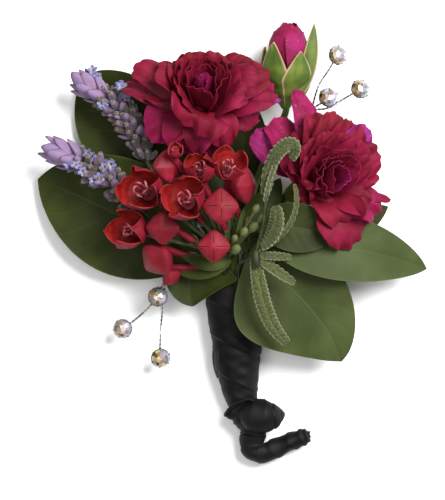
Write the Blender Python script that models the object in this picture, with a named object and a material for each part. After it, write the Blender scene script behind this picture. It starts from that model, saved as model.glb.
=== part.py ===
"""A flower boutonniere that lies on its back: carnations, bouvardia, fringed lavender and salal leaves,
with crystal sprays on twisted wire, their stems taped together and wrapped in black ribbon.

Lengths below are millimetres, and mesh_object turns them into metres. +X is to the right of the flowers
seen from above, +Y runs from the ribbon-wrapped handle towards the blooms, and +Z is up from the table.
The origin is the flat spot under the handle, on the table.
"""

import math
import random

import bmesh
import bpy
from mathutils import Vector

MM = 0.001
GAP = 0.3  # between pieces that rest on each other
TURN = 2 * math.pi

# Handle: the ribbon sleeve from its curled lower end to its mouth
# Each station: centre x, y, half width, half height
SLEEVE_STATIONS = [
    (2.2, -20.5, 4.0, 4.4),
    (1.8, -17.5, 4.9, 4.9),
    (0.7, -13.5, 5.5, 5.4),
    (0.3, -9.0, 6.3, 6.0),
    (0.1, -3.0, 7.3, 6.5),
    (-0.4, 5.0, 7.9, 6.9),
    (-0.9, 11.5, 8.5, 7.1),
    (-1.4, 17.5, 9.0, 7.2),
]
SLEEVE_SIDES = 16
SLEEVE_WALL = 0.9
SLEEVE_SINK = 0.45  # how far the round section is cut flat where it lies on the table
CORE_BOTTOM_STATION = 2
CORE_TOP_Y = 15.5
HOLE_DEPTH = 8.0
HOLE_PLAY = 0.3

# The curl of wrapped stems below the handle, each station x, y, z and radius
CURL = [
    (2.4, -16.5, 5.4, 4.0), (-0.2, -20.4, 5.8, 3.9), (1.2, -24.4, 5.6, 4.0), (5.6, -25.0, 6.4, 4.8),
    (9.4, -22.2, 8.2, 5.4), (8.6, -18.6, 9.2, 4.6), (4.4, -16.0, 7.8, 3.2),
]
TAIL = [
    (5.6, -24.5, 5.2, 3.9), (4.9, -28.6, 4.4, 3.9), (4.9, -31.4, 4.0, 3.6), (8.2, -32.4, 3.8, 3.3),
    (12.9, -30.6, 3.8, 3.2), (17.2, -28.6, 3.9, 3.0), (20.0, -27.5, 4.0, 2.2),
]

# Stems, as (x, z) from the mouth's centre and radius, in four rows from the table side up
STEM_SPOTS = {
    "leaf_lower_left": (-4.5, -3.1, 0.7),
    "leaf_upper_left": (-2.0, -3.9, 0.7),
    "leaf_back": (0.7, -4.0, 0.7),
    "leaf_right_back": (3.4, -3.5, 0.7),
    "lavender_lower": (-5.4, -0.8, 0.75),
    "lavender_upper": (-3.2, -1.2, 0.75),
    "carnation_left": (-0.5, -1.0, 1.2),
    "carnation_right": (2.7, -0.9, 1.2),
    "spray_right": (5.6, -1.0, 0.5),
    "spray_left": (-5.4, 1.6, 0.5),
    "leaf_lower_middle": (-3.7, 1.5, 0.7),
    "bud": (-0.9, 1.8, 1.0),
    "leaf_right_front": (1.8, 1.6, 0.7),
    "leaf_right": (4.3, 1.5, 0.7),
    "bouvardia": (-2.4, 3.8, 1.0),
    "foliage": (0.5, 4.2, 0.8),
    "leaf_lower_right": (3.1, 3.8, 0.7),
}

# Salal leaves: stalk route after the mouth, midrib control points from blade base to tip, half width,
# where along the midrib the blade is widest, and the way its face looks
LEAF_THICKNESS = 0.7
LEAVES = {
    "leaf_upper_left": dict(
        stalk=[(-5.5, 27, 3.2)], midrib=[(-11, 37, 3.0), (-25, 54, 3.8), (-36, 70, 3.6), (-46, 81.5, 0.42)],
        half_width=14.8, widest=0.55, face=(0.0, 0.0, 1.0)),
    "leaf_lower_left": dict(
        stalk=[(-6.2, 21.5, 3.8)],
        midrib=[(-11.5, 25.5, 5.0), (-26, 34, 9.0), (-42, 43, 8.8), (-60, 49.8, 3.4)],
        half_width=17.5, widest=0.5, face=(0.0, -0.06, 1.0)),
    "leaf_back": dict(
        stalk=[(-0.3, 23, 2.8)], midrib=[(0.0, 28, 2.2), (1.5, 45, 1.4), (3.0, 62, 1.2), (2.0, 76, 0.42)],
        half_width=8.0, widest=0.5, face=(0.0, 0.0, 1.0)),
    "leaf_right_back": dict(
        stalk=[(4.0, 22, 3.0)], midrib=[(7.5, 25.5, 2.6), (20, 29, 2.0), (33, 35, 1.6), (45.6, 41.6, 0.42)],
        half_width=7.0, widest=0.45, face=(0.0, 0.0, 1.0)),
    "leaf_lower_middle": dict(
        stalk=[(-6.6, 22, 8.6), (-8.0, 27, 9.8)],
        midrib=[(-10.2, 31.0, 11.0), (-13.2, 27, 11.6), (-16.4, 20, 12.0), (-13.3, 11.6, 11.6)],
        half_width=9.6, widest=0.54, face=(-0.02, 0.0, 1.0)),
    "leaf_lower_right": dict(
        stalk=[(2.4, 21.0, 12.6)],
        midrib=[(2.8, 26.4, 17.4), (13, 22, 18.0), (27, 9, 16.4), (31.4, -5.0, 11.6)],
        half_width=17.0, widest=0.46, face=(0.0, 0.0, 1.0)),
    "leaf_right": dict(
        stalk=[(4.8, 25, 10.4), (6.8, 32.5, 15.0)],
        midrib=[(8.6, 35.4, 20.4), (20, 29.5, 24.6), (38, 30.5, 20.6), (57, 22.8, 9.6)],
        half_width=10.0, widest=0.55, face=(0.0, 0.2, 1.0)),
    "leaf_right_front": dict(
        stalk=[(2.2, 25, 11.6), (3.2, 32, 16.4)],
        midrib=[(5.4, 36.0, 23.4), (13, 36.5, 27.0), (22, 34.5, 25.6), (30, 33, 22.6)],
        half_width=7.4, widest=0.5, face=(0.0, 0.0, 1.0)),
}

# Carnations: the mouth of the calyx, the way the bloom looks, and its petals
# A petal is: bearing round the bloom in degrees (0 is the viewer's right, 90 is up), then its tip's
# distance from the bloom's axis and height above the mouth, and the petal's half width
PETAL_THICKNESS = 0.65
CALYX_LENGTH = 13.0
CALYX_RADIUS = 4.3
CARNATIONS = {
    "carnation_left": dict(
        mouth=(-10.5, 69.5, 15.5), look=(0.03, 0.6, 0.8), seed=3, stem=[(-3.0, 30, 6.4)],
        petals=[
            [(268, 15.0, -2.0, 10.0), (226, 18.0, -1.0, 8.5), (190, 21.0, 1.0, 8.5), (158, 25.5, 5.0, 8.0),
             (118, 17.0, 8.0, 9.0), (76, 17.0, 8.0, 9.0), (32, 20.5, 10.0, 9.5), (352, 22.0, 5.0, 9.5),
             (320, 17.0, 5.0, 8.5)],
            [(190, 11.5, 13.0, 8.0), (258, 10.0, 12.0, 8.5), (322, 11.0, 12.5, 8.0), (36, 12.5, 12.5, 8.5),
             (112, 12.0, 13.0, 8.5)],
            [(210, 5.0, 16.0, 5.0), (330, 5.0, 16.5, 5.0), (90, 5.5, 17.0, 5.0)],
        ]),
    "carnation_right": dict(
        mouth=(22.5, 47.5, 19.5), look=(0.5, 0.2, 0.84), seed=8, stem=[(3.6, 29, 6.6)],
        petals=[
            [(112, 28.0, 7.0, 7.5), (154, 22.0, -1.0, 9.5), (198, 12.0, 3.0, 8.0), (286, 19.0, 4.0, 9.5),
             (322, 19.0, 7.0, 8.5), (14, 18.0, 10.0, 9.5), (50, 20.0, 10.0, 9.5), (82, 20.0, 10.0, 9.5)],
            [(50, 13.0, 13.0, 8.5), (120, 12.0, 13.0, 8.5), (192, 10.0, 12.5, 8.0), (262, 10.5, 12.5, 8.5),
             (338, 13.0, 12.5, 8.5)],
            [(190, 5.0, 16.0, 5.0), (310, 5.0, 16.5, 5.0), (70, 5.5, 17.0, 5.0)],
        ]),
}

# Carnation bud: base and tip of the closed petals, and its sepals
BUD_BASE = (14.6, 71.5, 11.5)
BUD_TIP = (15.8, 97.4, 14.0)
BUD_STEM = [(0.0, 30, 10.2), (5.5, 48, 10.6), (10.8, 61, 10.8)]
BUD_RADIUS = 6.9
SEPALS = [  # bearing round the bud, height of the tooth, splay at its tip
    (205, 11.0, 0.4), (280, 8.5, 0.0), (352, 17.0, 2.0), (50, 9.0, 0.4), (130, 9.0, 0.2),
]

# Lavender spikes: axis from the lowest whorl to the tip, then the stem's route from the mouth
LAVENDER = {
    "lavender_upper": dict(
        axis=[(-27.2, 55, 12), (-30.4, 64, 12), (-35.5, 71, 12.2), (-42, 76, 12.4), (-51.5, 80.5, 12)],
        stem=[(-5.6, 24, 6.2), (-13.0, 36, 8.6), (-22.0, 46.5, 11.6)]),
    "lavender_lower": dict(
        axis=[(-28, 40.5, 13.5), (-34.5, 46.5, 14.5), (-41.5, 52, 15), (-50, 56.4, 15), (-60.5, 58.4, 14.5)],
        stem=[(-8.2, 23, 6.8), (-14.5, 29, 9.4), (-21.0, 34.5, 12.0)]),
}
WHORLS = 6
WHORL_PROFILE = [(0.0, 2.0, 0.0), (1.5, 4.1, 0.2), (4.3, 5.0, 0.7), (3.8, 2.6, 0.3)]  # along, radius, tooth
CALYCES_IN_WHORL = 6
BRACTS = 6

# Bouvardia: where the stalks part, and each flower as head centre, size across, and open or shut
BOUVARDIA_HUB = (-2.6, 27.0, 18.6)
BOUVARDIA_FLOWERS = [
    ((-28.3, 46.6, 26.0), 6.8, "open"),
    ((-20.9, 53.6, 27.2), 4.6, "shut"),
    ((-15.4, 43.8, 33.0), 6.6, "open"),
    ((-4.7, 41.6, 34.0), 6.0, "shut"),
    ((-11.0, 53.0, 31.6), 4.8, "open"),
    ((-2.4, 53.6, 29.6), 5.0, "open"),
    ((3.6, 47.6, 29.6), 5.2, "shut"),
    ((-31.9, 34.4, 21.6), 6.2, "open"),
    ((-22.6, 35.4, 26.8), 5.2, "shut"),
    ((-24.0, 25.4, 21.6), 5.6, "shut"),
    ((-6.9, 29.2, 30.0), 5.5, "shut"),
    ((-19.6, 20.2, 18.4), 3.2, "shut"),
    ((-18.4, 58.2, 31.5), 2.6, "shut"),
]

BOUVARDIA_BUDS = [  # tip and radius of the unopened green ones
    ((6.4, 42.0, 31.0), 1.3), ((6.0, 36.6, 27.5), 1.6), ((2.8, 35.0, 28.0), 1.3), ((0.4, 29.4, 25.5), 1.7),
]

# Fringed lavender foliage: each leaf's midrib, half width, teeth a side and the way its face looks
FOLIAGE_STEM = [(-0.4, 20.5, 13.8), (1.2, 25.0, 22.0), (5.0, 26.8, 28.0), (7.6, 36.0, 31.5), (8.6, 46.0, 33.8)]
FOLIAGE_LEAVES = [
    ([(8.4, 45, 33.8), (8, 55, 36.5), (14.5, 65, 39), (19.5, 60, 38), (16, 55.5, 36.2)], 2.5, 5,
     (-0.3, 0.3, 1)),
    ([(8.4, 43, 33), (10, 48, 35.5), (11.4, 54, 36)], 1.6, 3, (0.8, 0, 0.6)),
    ([(7, 29.5, 29.2), (10.5, 32, 31.6), (12.6, 36.5, 33.4), (11.5, 41.5, 34)], 2.8, 4,
     (-0.3, 0.4, 1)),
    ([(6.6, 28, 28.6), (13, 31.5, 29.6), (20, 38, 33), (17, 48, 37)], 1.5, 4, (0.5, -0.3, 0.8)),
    ([(6, 26.9, 28.2), (10.6, 26.8, 28.8), (16.4, 26.4, 27)], 1.7, 3, (0, 0.2, 1)),
    ([(5.8, 26.6, 28), (11, 23, 28.6), (17.4, 18.6, 25)], 2.2, 3, (0.2, 0.5, 1)),
    ([(5.2, 26.6, 27.8), (8, 17, 28.4), (8.2, 8, 26), (15.2, 0.4, 22.2)], 2.6, 6, (0, 0, 1)),
]

# Crystal sprays: wire routes and the stones in their cups
WIRE_RADIUS = 0.5
STONE_RADIUS = 2.85
SPRAYS = {
    "spray_right": dict(
        trunk=[(6, 24, 5.6), (7.2, 34, 4.4), (6.6, 46, 5), (12, 58, 7.6), (20, 67.5, 10.6),
               (22.4, 70.6, 12.4)],
        branches=[
            [(22.4, 70.6, 12.4), (24.4, 77.5, 13.6), (28.2, 83.6, 14.4)],
            [(22.4, 70.6, 12.4), (24.6, 72.2, 13.6), (26.2, 72.9, 14.2)],
            [(22.4, 70.6, 12.4), (27.5, 71.2, 11.6), (32.6, 74.2, 12.4), (35.0, 75.6, 13.0)],
        ],
        stones=[((30.2, 86.9, 15.2), (0.42, 0.18, 0.9)), ((27.4, 74.2, 17.0), (0.15, 0.25, 0.95)),
                ((37.0, 76.8, 14.4), (0.3, 0.2, 0.93))]),
    "spray_left": dict(
        trunk=[(-8.6, 21.6, 9.6), (-12.0, 25.0, 10.4), (-17.5, 23.6, 9.4), (-21.6, 19.0, 9.0)],
        branches=[
            [(-21.6, 19.0, 9.0), (-23.2, 16.6, 8.0), (-23.6, 15.0, 7.2)],
            [(-21.6, 19.0, 9.0), (-25.4, 12.6, 7.4), (-29.6, 8.4, 6.8), (-32.4, 6.2, 6.6)],
            [(-21.6, 19.0, 9.0), (-22.4, 11.0, 7.0), (-23.0, 4.0, 6.4), (-23.2, -1.4, 6.2)],
        ],
        stones=[((-23.8, 14.4, 11.2), (0.05, 0.1, 1.0)), ((-34.4, 4.8, 7.6), (-0.2, -0.1, 0.97)),
                ((-23.0, -4.0, 7.4), (0.1, -0.2, 0.97))]),
}

COLOURS = {  # red, green, blue, roughness, metallic
    "ribbon": (0.012, 0.012, 0.014, 0.5, 0.0),
    "tape": (0.10, 0.20, 0.06, 0.7, 0.0),
    "salal": (0.05, 0.11, 0.025, 0.4, 0.0),
    "petal": (0.42, 0.01, 0.09, 0.6, 0.0),
    "calyx": (0.20, 0.36, 0.07, 0.55, 0.0),
    "lavender": (0.24, 0.20, 0.24, 0.8, 0.0),
    "bract": (0.40, 0.26, 0.58, 0.7, 0.0),
    "bouvardia": (0.60, 0.015, 0.035, 0.5, 0.0),
    "stalk": (0.12, 0.19, 0.05, 0.6, 0.0),
    "foliage": (0.20, 0.25, 0.13, 0.85, 0.0),
    "metal": (0.75, 0.74, 0.72, 0.25, 1.0),
    "crystal": (0.85, 0.82, 0.88, 0.05, 0.0),
}


# Scene and mesh helpers


def clear_scene():
    for old in list(bpy.data.objects):
        bpy.data.objects.remove(old)


def material(slot):
    found = bpy.data.materials.get(slot)
    if found:
        return found
    made = bpy.data.materials.new(slot)
    made.use_nodes = True
    shader = made.node_tree.nodes["Principled BSDF"]
    red, green, blue, roughness, metallic = COLOURS[slot]
    shader.inputs["Base Color"].default_value = (red, green, blue, 1.0)
    shader.inputs["Roughness"].default_value = roughness
    shader.inputs["Metallic"].default_value = metallic
    return made


def mesh_object(name, shape):
    """An object from (points in mm, faces), closed and with its faces pointing out."""
    points, faces = shape
    mesh = bpy.data.meshes.new(name)
    mesh.from_pydata([tuple(p * MM) for p in points], [], faces)
    edit = bmesh.new()
    edit.from_mesh(mesh)
    bmesh.ops.recalc_face_normals(edit, faces=edit.faces)
    bmesh.ops.triangulate(edit, faces=edit.faces)
    edit.to_mesh(mesh)
    edit.free()
    made = bpy.data.objects.new(name, mesh)
    bpy.context.scene.collection.objects.link(made)
    return made


def finish(obj, slot):
    obj.data.materials.clear()
    obj.data.materials.append(material(slot))
    obj.data.shade_smooth()
    obj.data.set_sharp_from_angle(angle=math.radians(50))
    return obj


def applied_boolean(name, first, others, operation):
    """first joined to, or cut by, the other objects, which are removed."""
    tools = bpy.data.collections.new(name + "_tools")
    bpy.context.scene.collection.children.link(tools)
    for other in others:
        bpy.context.scene.collection.objects.unlink(other)
        tools.objects.link(other)
    step = first.modifiers.new("boolean", "BOOLEAN")
    step.operation = operation
    step.solver = "MANIFOLD"
    step.operand_type = "COLLECTION"
    step.collection = tools
    bpy.context.view_layer.update()
    graph = bpy.context.evaluated_depsgraph_get()
    mesh = bpy.data.meshes.new_from_object(first.evaluated_get(graph))
    for old in [first, *others]:
        bpy.data.objects.remove(old)
    bpy.data.collections.remove(tools)
    mesh.name = name
    made = bpy.data.objects.new(name, mesh)
    bpy.context.scene.collection.objects.link(made)
    return keep_largest(made)


def united(name, shapes):
    """One solid from overlapping shapes."""
    made = [mesh_object(f"{name}_{i}", shape) for i, shape in enumerate(shapes)]
    return applied_boolean(name, made[0], made[1:], "UNION")


def cut(name, first, cutters):
    """first with the cutter shapes taken out."""
    tools = [mesh_object(f"{name}_cutter_{i}", shape) for i, shape in enumerate(cutters)]
    return applied_boolean(name, first, tools, "DIFFERENCE")


def keep_largest(obj):
    """obj without the specks and pockets a Boolean can leave beside or inside it."""
    edit = bmesh.new()
    edit.from_mesh(obj.data)
    edit.verts.ensure_lookup_table()
    unseen = set(edit.verts)
    groups = []
    while unseen:
        group = set()
        front = [unseen.pop()]
        while front:
            vert = front.pop()
            group.add(vert)
            for edge in vert.link_edges:
                other = edge.other_vert(vert)
                if other in unseen:
                    unseen.remove(other)
                    front.append(other)
        groups.append(group)
    groups.sort(key=len)
    for scrap in groups[:-1]:
        bmesh.ops.delete(edit, geom=list(scrap), context="VERTS")
    edit.to_mesh(obj.data)
    edit.free()
    return obj


# Curves


def bezier(points, t):
    level = list(points)
    while len(level) > 1:
        level = [a.lerp(b, t) for a, b in zip(level, level[1:])]
    return level[0]


def slope(points, t):
    ahead = bezier(points, min(t + 0.01, 1.0)) - bezier(points, max(t - 0.01, 0.0))
    return ahead.normalized()


def through(points, steps):
    """Points of a smooth curve through the given ones, with this many steps between each two."""
    padded = [2 * points[0] - points[1], *points, 2 * points[-1] - points[-2]]
    curve = []
    for a, b, c, d in zip(padded, padded[1:], padded[2:], padded[3:]):
        for k in range(steps):
            t = k / steps
            curve.append(0.5 * (2 * b + (c - a) * t + (2 * a - 5 * b + 4 * c - d) * t * t
                                + (3 * b - a - 3 * c + d) * t ** 3))
    return [*curve, points[-1].copy()]


def vectors(points):
    return [Vector(p) for p in points]


def across(direction):
    """Two unit vectors at right angles to a direction."""
    helper = Vector((0, 0, 1)) if abs(direction.z) < 0.9 else Vector((1, 0, 0))
    side = direction.cross(helper).normalized()
    return side, direction.cross(side).normalized()


# Shapes, each as (points, faces)


def rings_shape(rings):
    """A closed shape through rings of equally many points, with flat ends."""
    sides = len(rings[0])
    points = [p for ring in rings for p in ring]
    faces = []
    for i in range(len(rings) - 1):
        for k in range(sides):
            a, b = i * sides + k, i * sides + (k + 1) % sides
            faces.append((a, b, b + sides, a + sides))
    faces.append(tuple(reversed(range(sides))))
    faces.append(tuple(range(len(points) - sides, len(points))))
    return points, faces


def tube(path, radii, sides):
    rings = []
    side, _ = across((path[1] - path[0]).normalized())
    for i, (centre, radius) in enumerate(zip(path, radii)):
        ahead = (path[min(i + 1, len(path) - 1)] - path[max(i - 1, 0)]).normalized()
        side = (side - ahead * side.dot(ahead)).normalized()
        up = ahead.cross(side)
        rings.append([centre + radius * (side * math.cos(TURN * k / sides) + up * math.sin(TURN * k / sides))
                      for k in range(sides)])
    return rings_shape(rings)


def turned(base, axis, profile, sides):
    """A shape turned round an axis from (height, radius) pairs."""
    side, up = across(axis)
    rings = []
    for height, radius in profile:
        rings.append([base + axis * height
                      + radius * (side * math.cos(TURN * k / sides) + up * math.sin(TURN * k / sides))
                      for k in range(sides)])
    return rings_shape(rings)


def lobed_cup(base, axis, side, outside, inside, lobes, steps):
    """A cup with a toothed rim, turned round an axis from (height, radius, share of the tooth) stations.

    Each lobe is (bearing, tooth height, splay). A station with share 1 follows the tips of the teeth.
    """
    up = axis.cross(side)
    bearings = sorted((bearing % 360, height, splay) for bearing, height, splay in lobes)
    directions = []
    for i, (bearing, height, splay) in enumerate(bearings):
        before = bearings[i - 1][0] - (360 if i == 0 else 0)
        after = bearings[(i + 1) % len(bearings)][0] + (360 if i == len(bearings) - 1 else 0)
        for k in range(steps):
            u = 2 * k / steps - 1
            angle = bearing + u * 0.5 * ((bearing - before) if u < 0 else (after - bearing))
            tooth = 1 - abs(u) ** 1.4
            directions.append((math.radians(angle), height * tooth, splay * tooth))
    rings = []
    for height, radius, share in [*outside, *inside]:
        rings.append([base + axis * (height + share * tooth)
                      + (radius + share * splay) * (side * math.cos(angle) + up * math.sin(angle))
                      for angle, tooth, splay in directions])
    return rings_shape(rings)


def sheet_shape(rows, thickness):
    """A thin closed blade on a grid of points, split into triangles alike on both faces."""
    high, wide = len(rows), len(rows[0])
    upper, lower = [], []
    for i in range(high):
        for j in range(wide):
            along = rows[min(i + 1, high - 1)][j] - rows[max(i - 1, 0)][j]
            beside = rows[i][min(j + 1, wide - 1)] - rows[i][max(j - 1, 0)]
            offset = beside.cross(along).normalized() * (thickness / 2)
            upper.append(rows[i][j] + offset)
            lower.append(rows[i][j] - offset)
    back = high * wide
    faces = []
    for i in range(high - 1):
        for j in range(wide - 1):
            a = i * wide + j
            b, c, d = a + 1, a + wide + 1, a + wide
            split = [(a, b, c), (a, c, d)] if (i + j) % 2 else [(a, b, d), (b, c, d)]
            for triangle in split:
                faces.append(triangle)
                faces.append(tuple(back + k for k in reversed(triangle)))
    rim = [j for j in range(wide)]
    rim += [i * wide + wide - 1 for i in range(1, high)]
    rim += [(high - 1) * wide + j for j in range(wide - 2, -1, -1)]
    rim += [i * wide for i in range(high - 2, 0, -1)]
    for a, b in zip(rim, rim[1:] + rim[:1]):
        faces.append((b, a, back + a))
        faces.append((b, back + a, back + b))
    return upper + lower, faces


def blade_rows(midrib, half_width, outline, face, stations, columns, cup=0.0, wave=None):
    """Grid of a leaf: rows across the midrib, cupped towards its face by cup times the half width."""
    rows = []
    for i in range(stations):
        t = i / (stations - 1)
        ahead = slope(midrib, t)
        side = ahead.cross(face).normalized()
        up = side.cross(ahead)
        width = max(half_width * outline(t), 0.3)
        row = []
        for j in range(columns):
            v = 2 * j / (columns - 1) - 1
            lift = cup * width * v * v
            if wave:
                lift += wave(t, v) * width
            row.append(bezier(midrib, t) + side * (width * v) + up * lift)
        rows.append(row)
    return rows


def salal_outline(widest):
    """Half width of a leaf along its midrib, 1 at its widest, round at the base and pointed at the tip."""
    def outline(t):
        return (t / widest) ** (0.75 * widest / (1 - widest)) * ((1 - t) / (1 - widest)) ** 0.75

    return outline


# Handle


def section(centre, half_width, half_height, inset):
    """A ring of the handle: an oval that the table cuts flat, taken in by inset."""
    x, y = centre
    height = half_height - SLEEVE_SINK
    ring = []
    for k in range(SLEEVE_SIDES):
        angle = TURN * (k + 0.5) / SLEEVE_SIDES
        z = height + (half_height - inset) * math.sin(angle)
        ring.append(Vector((x + (half_width - inset) * math.cos(angle), y, max(z, inset))))
    return ring


def sleeve_ring(y, inset):
    """The handle's ring at any height along it."""
    for low, high in zip(SLEEVE_STATIONS, SLEEVE_STATIONS[1:]):
        if low[1] <= y <= high[1]:
            share = (y - low[1]) / (high[1] - low[1])
            x, _, wide, tall = (a + (b - a) * share for a, b in zip(low, high))
            return section((x, y), wide, tall, inset)
    raise ValueError(y)


def ribbon_wrap():
    outside = [section((x, y), wide, tall, 0.0) for x, y, wide, tall in SLEEVE_STATIONS]
    lined = [SLEEVE_STATIONS[-1], *reversed(SLEEVE_STATIONS[CORE_BOTTOM_STATION::2])]
    inside = [section((x, y), wide, tall, SLEEVE_WALL) for x, y, wide, tall in lined]
    sleeve = rings_shape(outside + inside)
    shapes = [sleeve]
    for stations in (CURL, TAIL):
        path = through([Vector(station[:3]) for station in stations], 2)
        shapes.append(tube(path, spread([station[3] for station in stations], 2), 9))
    return finish(united("ribbon_wrap", shapes), "ribbon")


def spread(values, steps):
    """Values at the points of through(), between the given ones."""
    fine = [a + (b - a) * k / steps for a, b in zip(values, values[1:]) for k in range(steps)]
    return [*fine, values[-1]]


def mouth_point(spot, y):
    x, z, _ = STEM_SPOTS[spot]
    top_x, _, _, half_height = SLEEVE_STATIONS[-1]
    return Vector((top_x + x, y, half_height - SLEEVE_SINK + z))


def taped_core():
    inset = SLEEVE_WALL + GAP
    floor_y = SLEEVE_STATIONS[CORE_BOTTOM_STATION][1] + GAP
    heights = [floor_y, SLEEVE_STATIONS[4][1], CORE_TOP_Y]
    core = mesh_object("taped_core", rings_shape([sleeve_ring(y, inset) for y in heights]))
    holes = []
    for spot, (_, _, radius) in STEM_SPOTS.items():
        path = [mouth_point(spot, CORE_TOP_Y - HOLE_DEPTH), mouth_point(spot, CORE_TOP_Y + 2.0)]
        holes.append(tube(path, [radius + HOLE_PLAY] * 2, 6))
    return finish(cut("taped_core", core, holes), "tape")


def stem_shape(spot, route, steps=1):
    """A stem from its hole in the taped core along a route."""
    start = [mouth_point(spot, CORE_TOP_Y - HOLE_DEPTH + GAP), mouth_point(spot, CORE_TOP_Y)]
    path = [start[0], *through([start[1], *vectors(route)], steps)]
    return tube(path, [STEM_SPOTS[spot][2]] * len(path), 6)


# Leaves


def salal_leaf(name):
    leaf = LEAVES[name]
    midrib = vectors(leaf["midrib"])
    outline = salal_outline(leaf["widest"])
    rows = blade_rows(midrib, leaf["half_width"], outline, Vector(leaf["face"]), 8, 5, cup=0.08)
    blade = sheet_shape(rows, LEAF_THICKNESS)
    into_blade = bezier(midrib, 0.06)
    stalk = stem_shape(name, [*leaf["stalk"], midrib[0], into_blade])
    return finish(united("salal_" + name, [blade, stalk]), "salal")


# Carnations


def bloom_axes(look):
    """The bloom's axis, the viewer's right and the way up, all at right angles."""
    axis = Vector(look).normalized()
    right = (Vector((1, 0, 0)) - axis * axis.x).normalized()
    return axis, right, axis.cross(right)


def petal_rows(mouth, axes, petal, dice, stations, columns):
    """Grid of a carnation petal: a narrow claw in the calyx that opens into a waved, toothed fan."""
    axis, right, up = axes
    bearing, reach, rise, half_width = petal
    angle = math.radians(bearing)
    out = right * math.cos(angle) + up * math.sin(angle)
    side = axis.cross(out)
    midline = [mouth - axis * 1.5 + out * 1.0,
               mouth + axis * (15.5 - 0.25 * rise) + out * (reach * (0.38 - 0.012 * rise)),
               mouth + axis * rise + out * reach]
    phase = dice.uniform(0, TURN)
    waves = dice.choice((1.0, 1.5))
    rows = []
    for i in range(stations):
        t = i / (stations - 1)
        row = []
        for j in range(columns):
            v = 2 * j / (columns - 1) - 1
            along = t * (1 - 0.16 * v * v)
            ahead = slope(midline, along)
            face = side.cross(ahead)
            fan = 0.16 + 0.84 * smooth_step((t - 0.15) / 0.6)
            tooth = 0.8 * (j % 2) * (i == stations - 1)
            lift = 0.2 * math.sin(waves * math.pi * v + phase) * half_width * fan * t
            row.append(bezier(midline, along) + side * (half_width * fan * v) - face * lift + ahead * tooth)
        rows.append(row)
    return rows


def smooth_step(t):
    t = min(max(t, 0.0), 1.0)
    return t * t * (3 - 2 * t)


def carnation_bloom(name):
    bloom = CARNATIONS[name]
    axes = bloom_axes(bloom["look"])
    mouth = Vector(bloom["mouth"])
    dice = random.Random(bloom["seed"])
    shapes = [turned(mouth, axes[0], [(-3.2, 2.0), (2.0, 4.0), (12.0, 3.2)], 7)]
    for ring, (stations, columns) in zip(bloom["petals"], ((4, 4), (4, 3), (3, 3))):
        for petal in ring:
            rows = petal_rows(mouth, axes, petal, dice, stations, columns)
            shapes.append(sheet_shape(rows, PETAL_THICKNESS))
    return finish(united(name + "_bloom", shapes), "petal")


def carnation_calyx(name):
    bloom = CARNATIONS[name]
    axis, _, _ = bloom_axes(bloom["look"])
    mouth = Vector(bloom["mouth"])
    base = mouth - axis * CALYX_LENGTH
    profile = [(-0.6, 1.2), (0.8, 2.6), (4.0, 3.4), (9.0, CALYX_RADIUS), (CALYX_LENGTH - 1.4, CALYX_RADIUS),
               (CALYX_LENGTH - 1.4, 3.4), (CALYX_LENGTH - 5.0, 2.6)]
    cup = turned(base, axis, profile, 9)
    stem = stem_shape(name, [*bloom["stem"], base - axis * 3.0, base + axis * 1.0])
    return finish(united(name + "_calyx", [cup, stem]), "calyx")


# Bud


def bud_frame():
    base, tip = Vector(BUD_BASE), Vector(BUD_TIP)
    axis = (tip - base).normalized()
    up = (Vector((0, 0, 1)) - axis * axis.z).normalized()
    return base, axis, up.cross(axis) * -1, up, (tip - base).length


def bud_petals():
    base, axis, right, up, length = bud_frame()
    profile = [(0.20, 0.34), (0.34, 0.80), (0.50, 0.98), (0.68, 0.94), (0.86, 0.72), (0.97, 0.38)]
    rings = []
    for share, radius in profile:
        ring = []
        for k in range(12):
            angle = TURN * k / 12 + share * 1.4
            fold = 1 + 0.06 * (k % 3 - 1)
            ring.append(base + axis * (length * share)
                        + BUD_RADIUS * radius * fold * (right * math.cos(angle) + up * math.sin(angle)))
        rings.append(ring)
    return finish(mesh_object("carnation_bud_petals", rings_shape(rings)), "petal")


def bud_calyx():
    base, axis, right, up, length = bud_frame()
    girth = BUD_RADIUS + 0.35
    outside = [(0.0, 1.3, 0), (1.5, 2.2, 0), (5.0, 4.8, 0), (9.0, girth + 0.5, 0), (10.5, girth + 1.3, 0.5),
               (10.5, girth + 1.0, 1)]
    inside = [(10.2, girth + 0.3, 1), (10.0, girth + 0.6, 0.5), (9.0, girth - 0.2, 0), (5.8, 4.2, 0),
              (3.4, 2.2, 0)]
    cup = lobed_cup(base, axis, right, outside, inside, SEPALS, 3)
    stem = stem_shape("bud", [*BUD_STEM, base - axis * 2.0, base + axis * 1.2])
    return finish(united("carnation_bud_calyx", [cup, stem]), "calyx")


# Lavender


def lavender_spike(name):
    """Whorls of calyces down a stem, each whorl a toothed ring that leans towards the tip."""
    spike = LAVENDER[name]
    axis = vectors(spike["axis"])
    side, _ = across((axis[1] - axis[0]).normalized())
    rings = []
    for w in range(WHORLS):
        centre, ahead = point_along(axis, 0.62 * w / (WHORLS - 1))
        side = (side - ahead * side.dot(ahead)).normalized()
        up = ahead.cross(side)
        size = 1 if w else 0.8
        for along, radius, tooth in WHORL_PROFILE:
            ring = []
            for k in range(2 * CALYCES_IN_WHORL):
                angle = math.pi * k / CALYCES_IN_WHORL
                peak = 1 if (k + w) % 2 else -1
                out = side * math.cos(angle) + up * math.sin(angle)
                reach = size * radius * (1 + 0.3 * tooth * peak)
                ring.append(centre + ahead * (along + tooth * peak) + out * reach)
            rings.append(ring)
    route = [*spike["stem"], axis[0] - (axis[1] - axis[0]).normalized() * 1.0, axis[0].lerp(axis[1], 0.2)]
    return finish(united(name + "_spike", [rings_shape(rings), stem_shape(name, route)]), "lavender")


def point_along(axis, t):
    """Point and direction at a share of the smooth curve through the axis points."""
    fine = through(axis, 8)
    place = t * (len(fine) - 1)
    i = min(int(place), len(fine) - 2)
    return fine[i].lerp(fine[i + 1], place - i), (fine[i + 1] - fine[i]).normalized()


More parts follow.
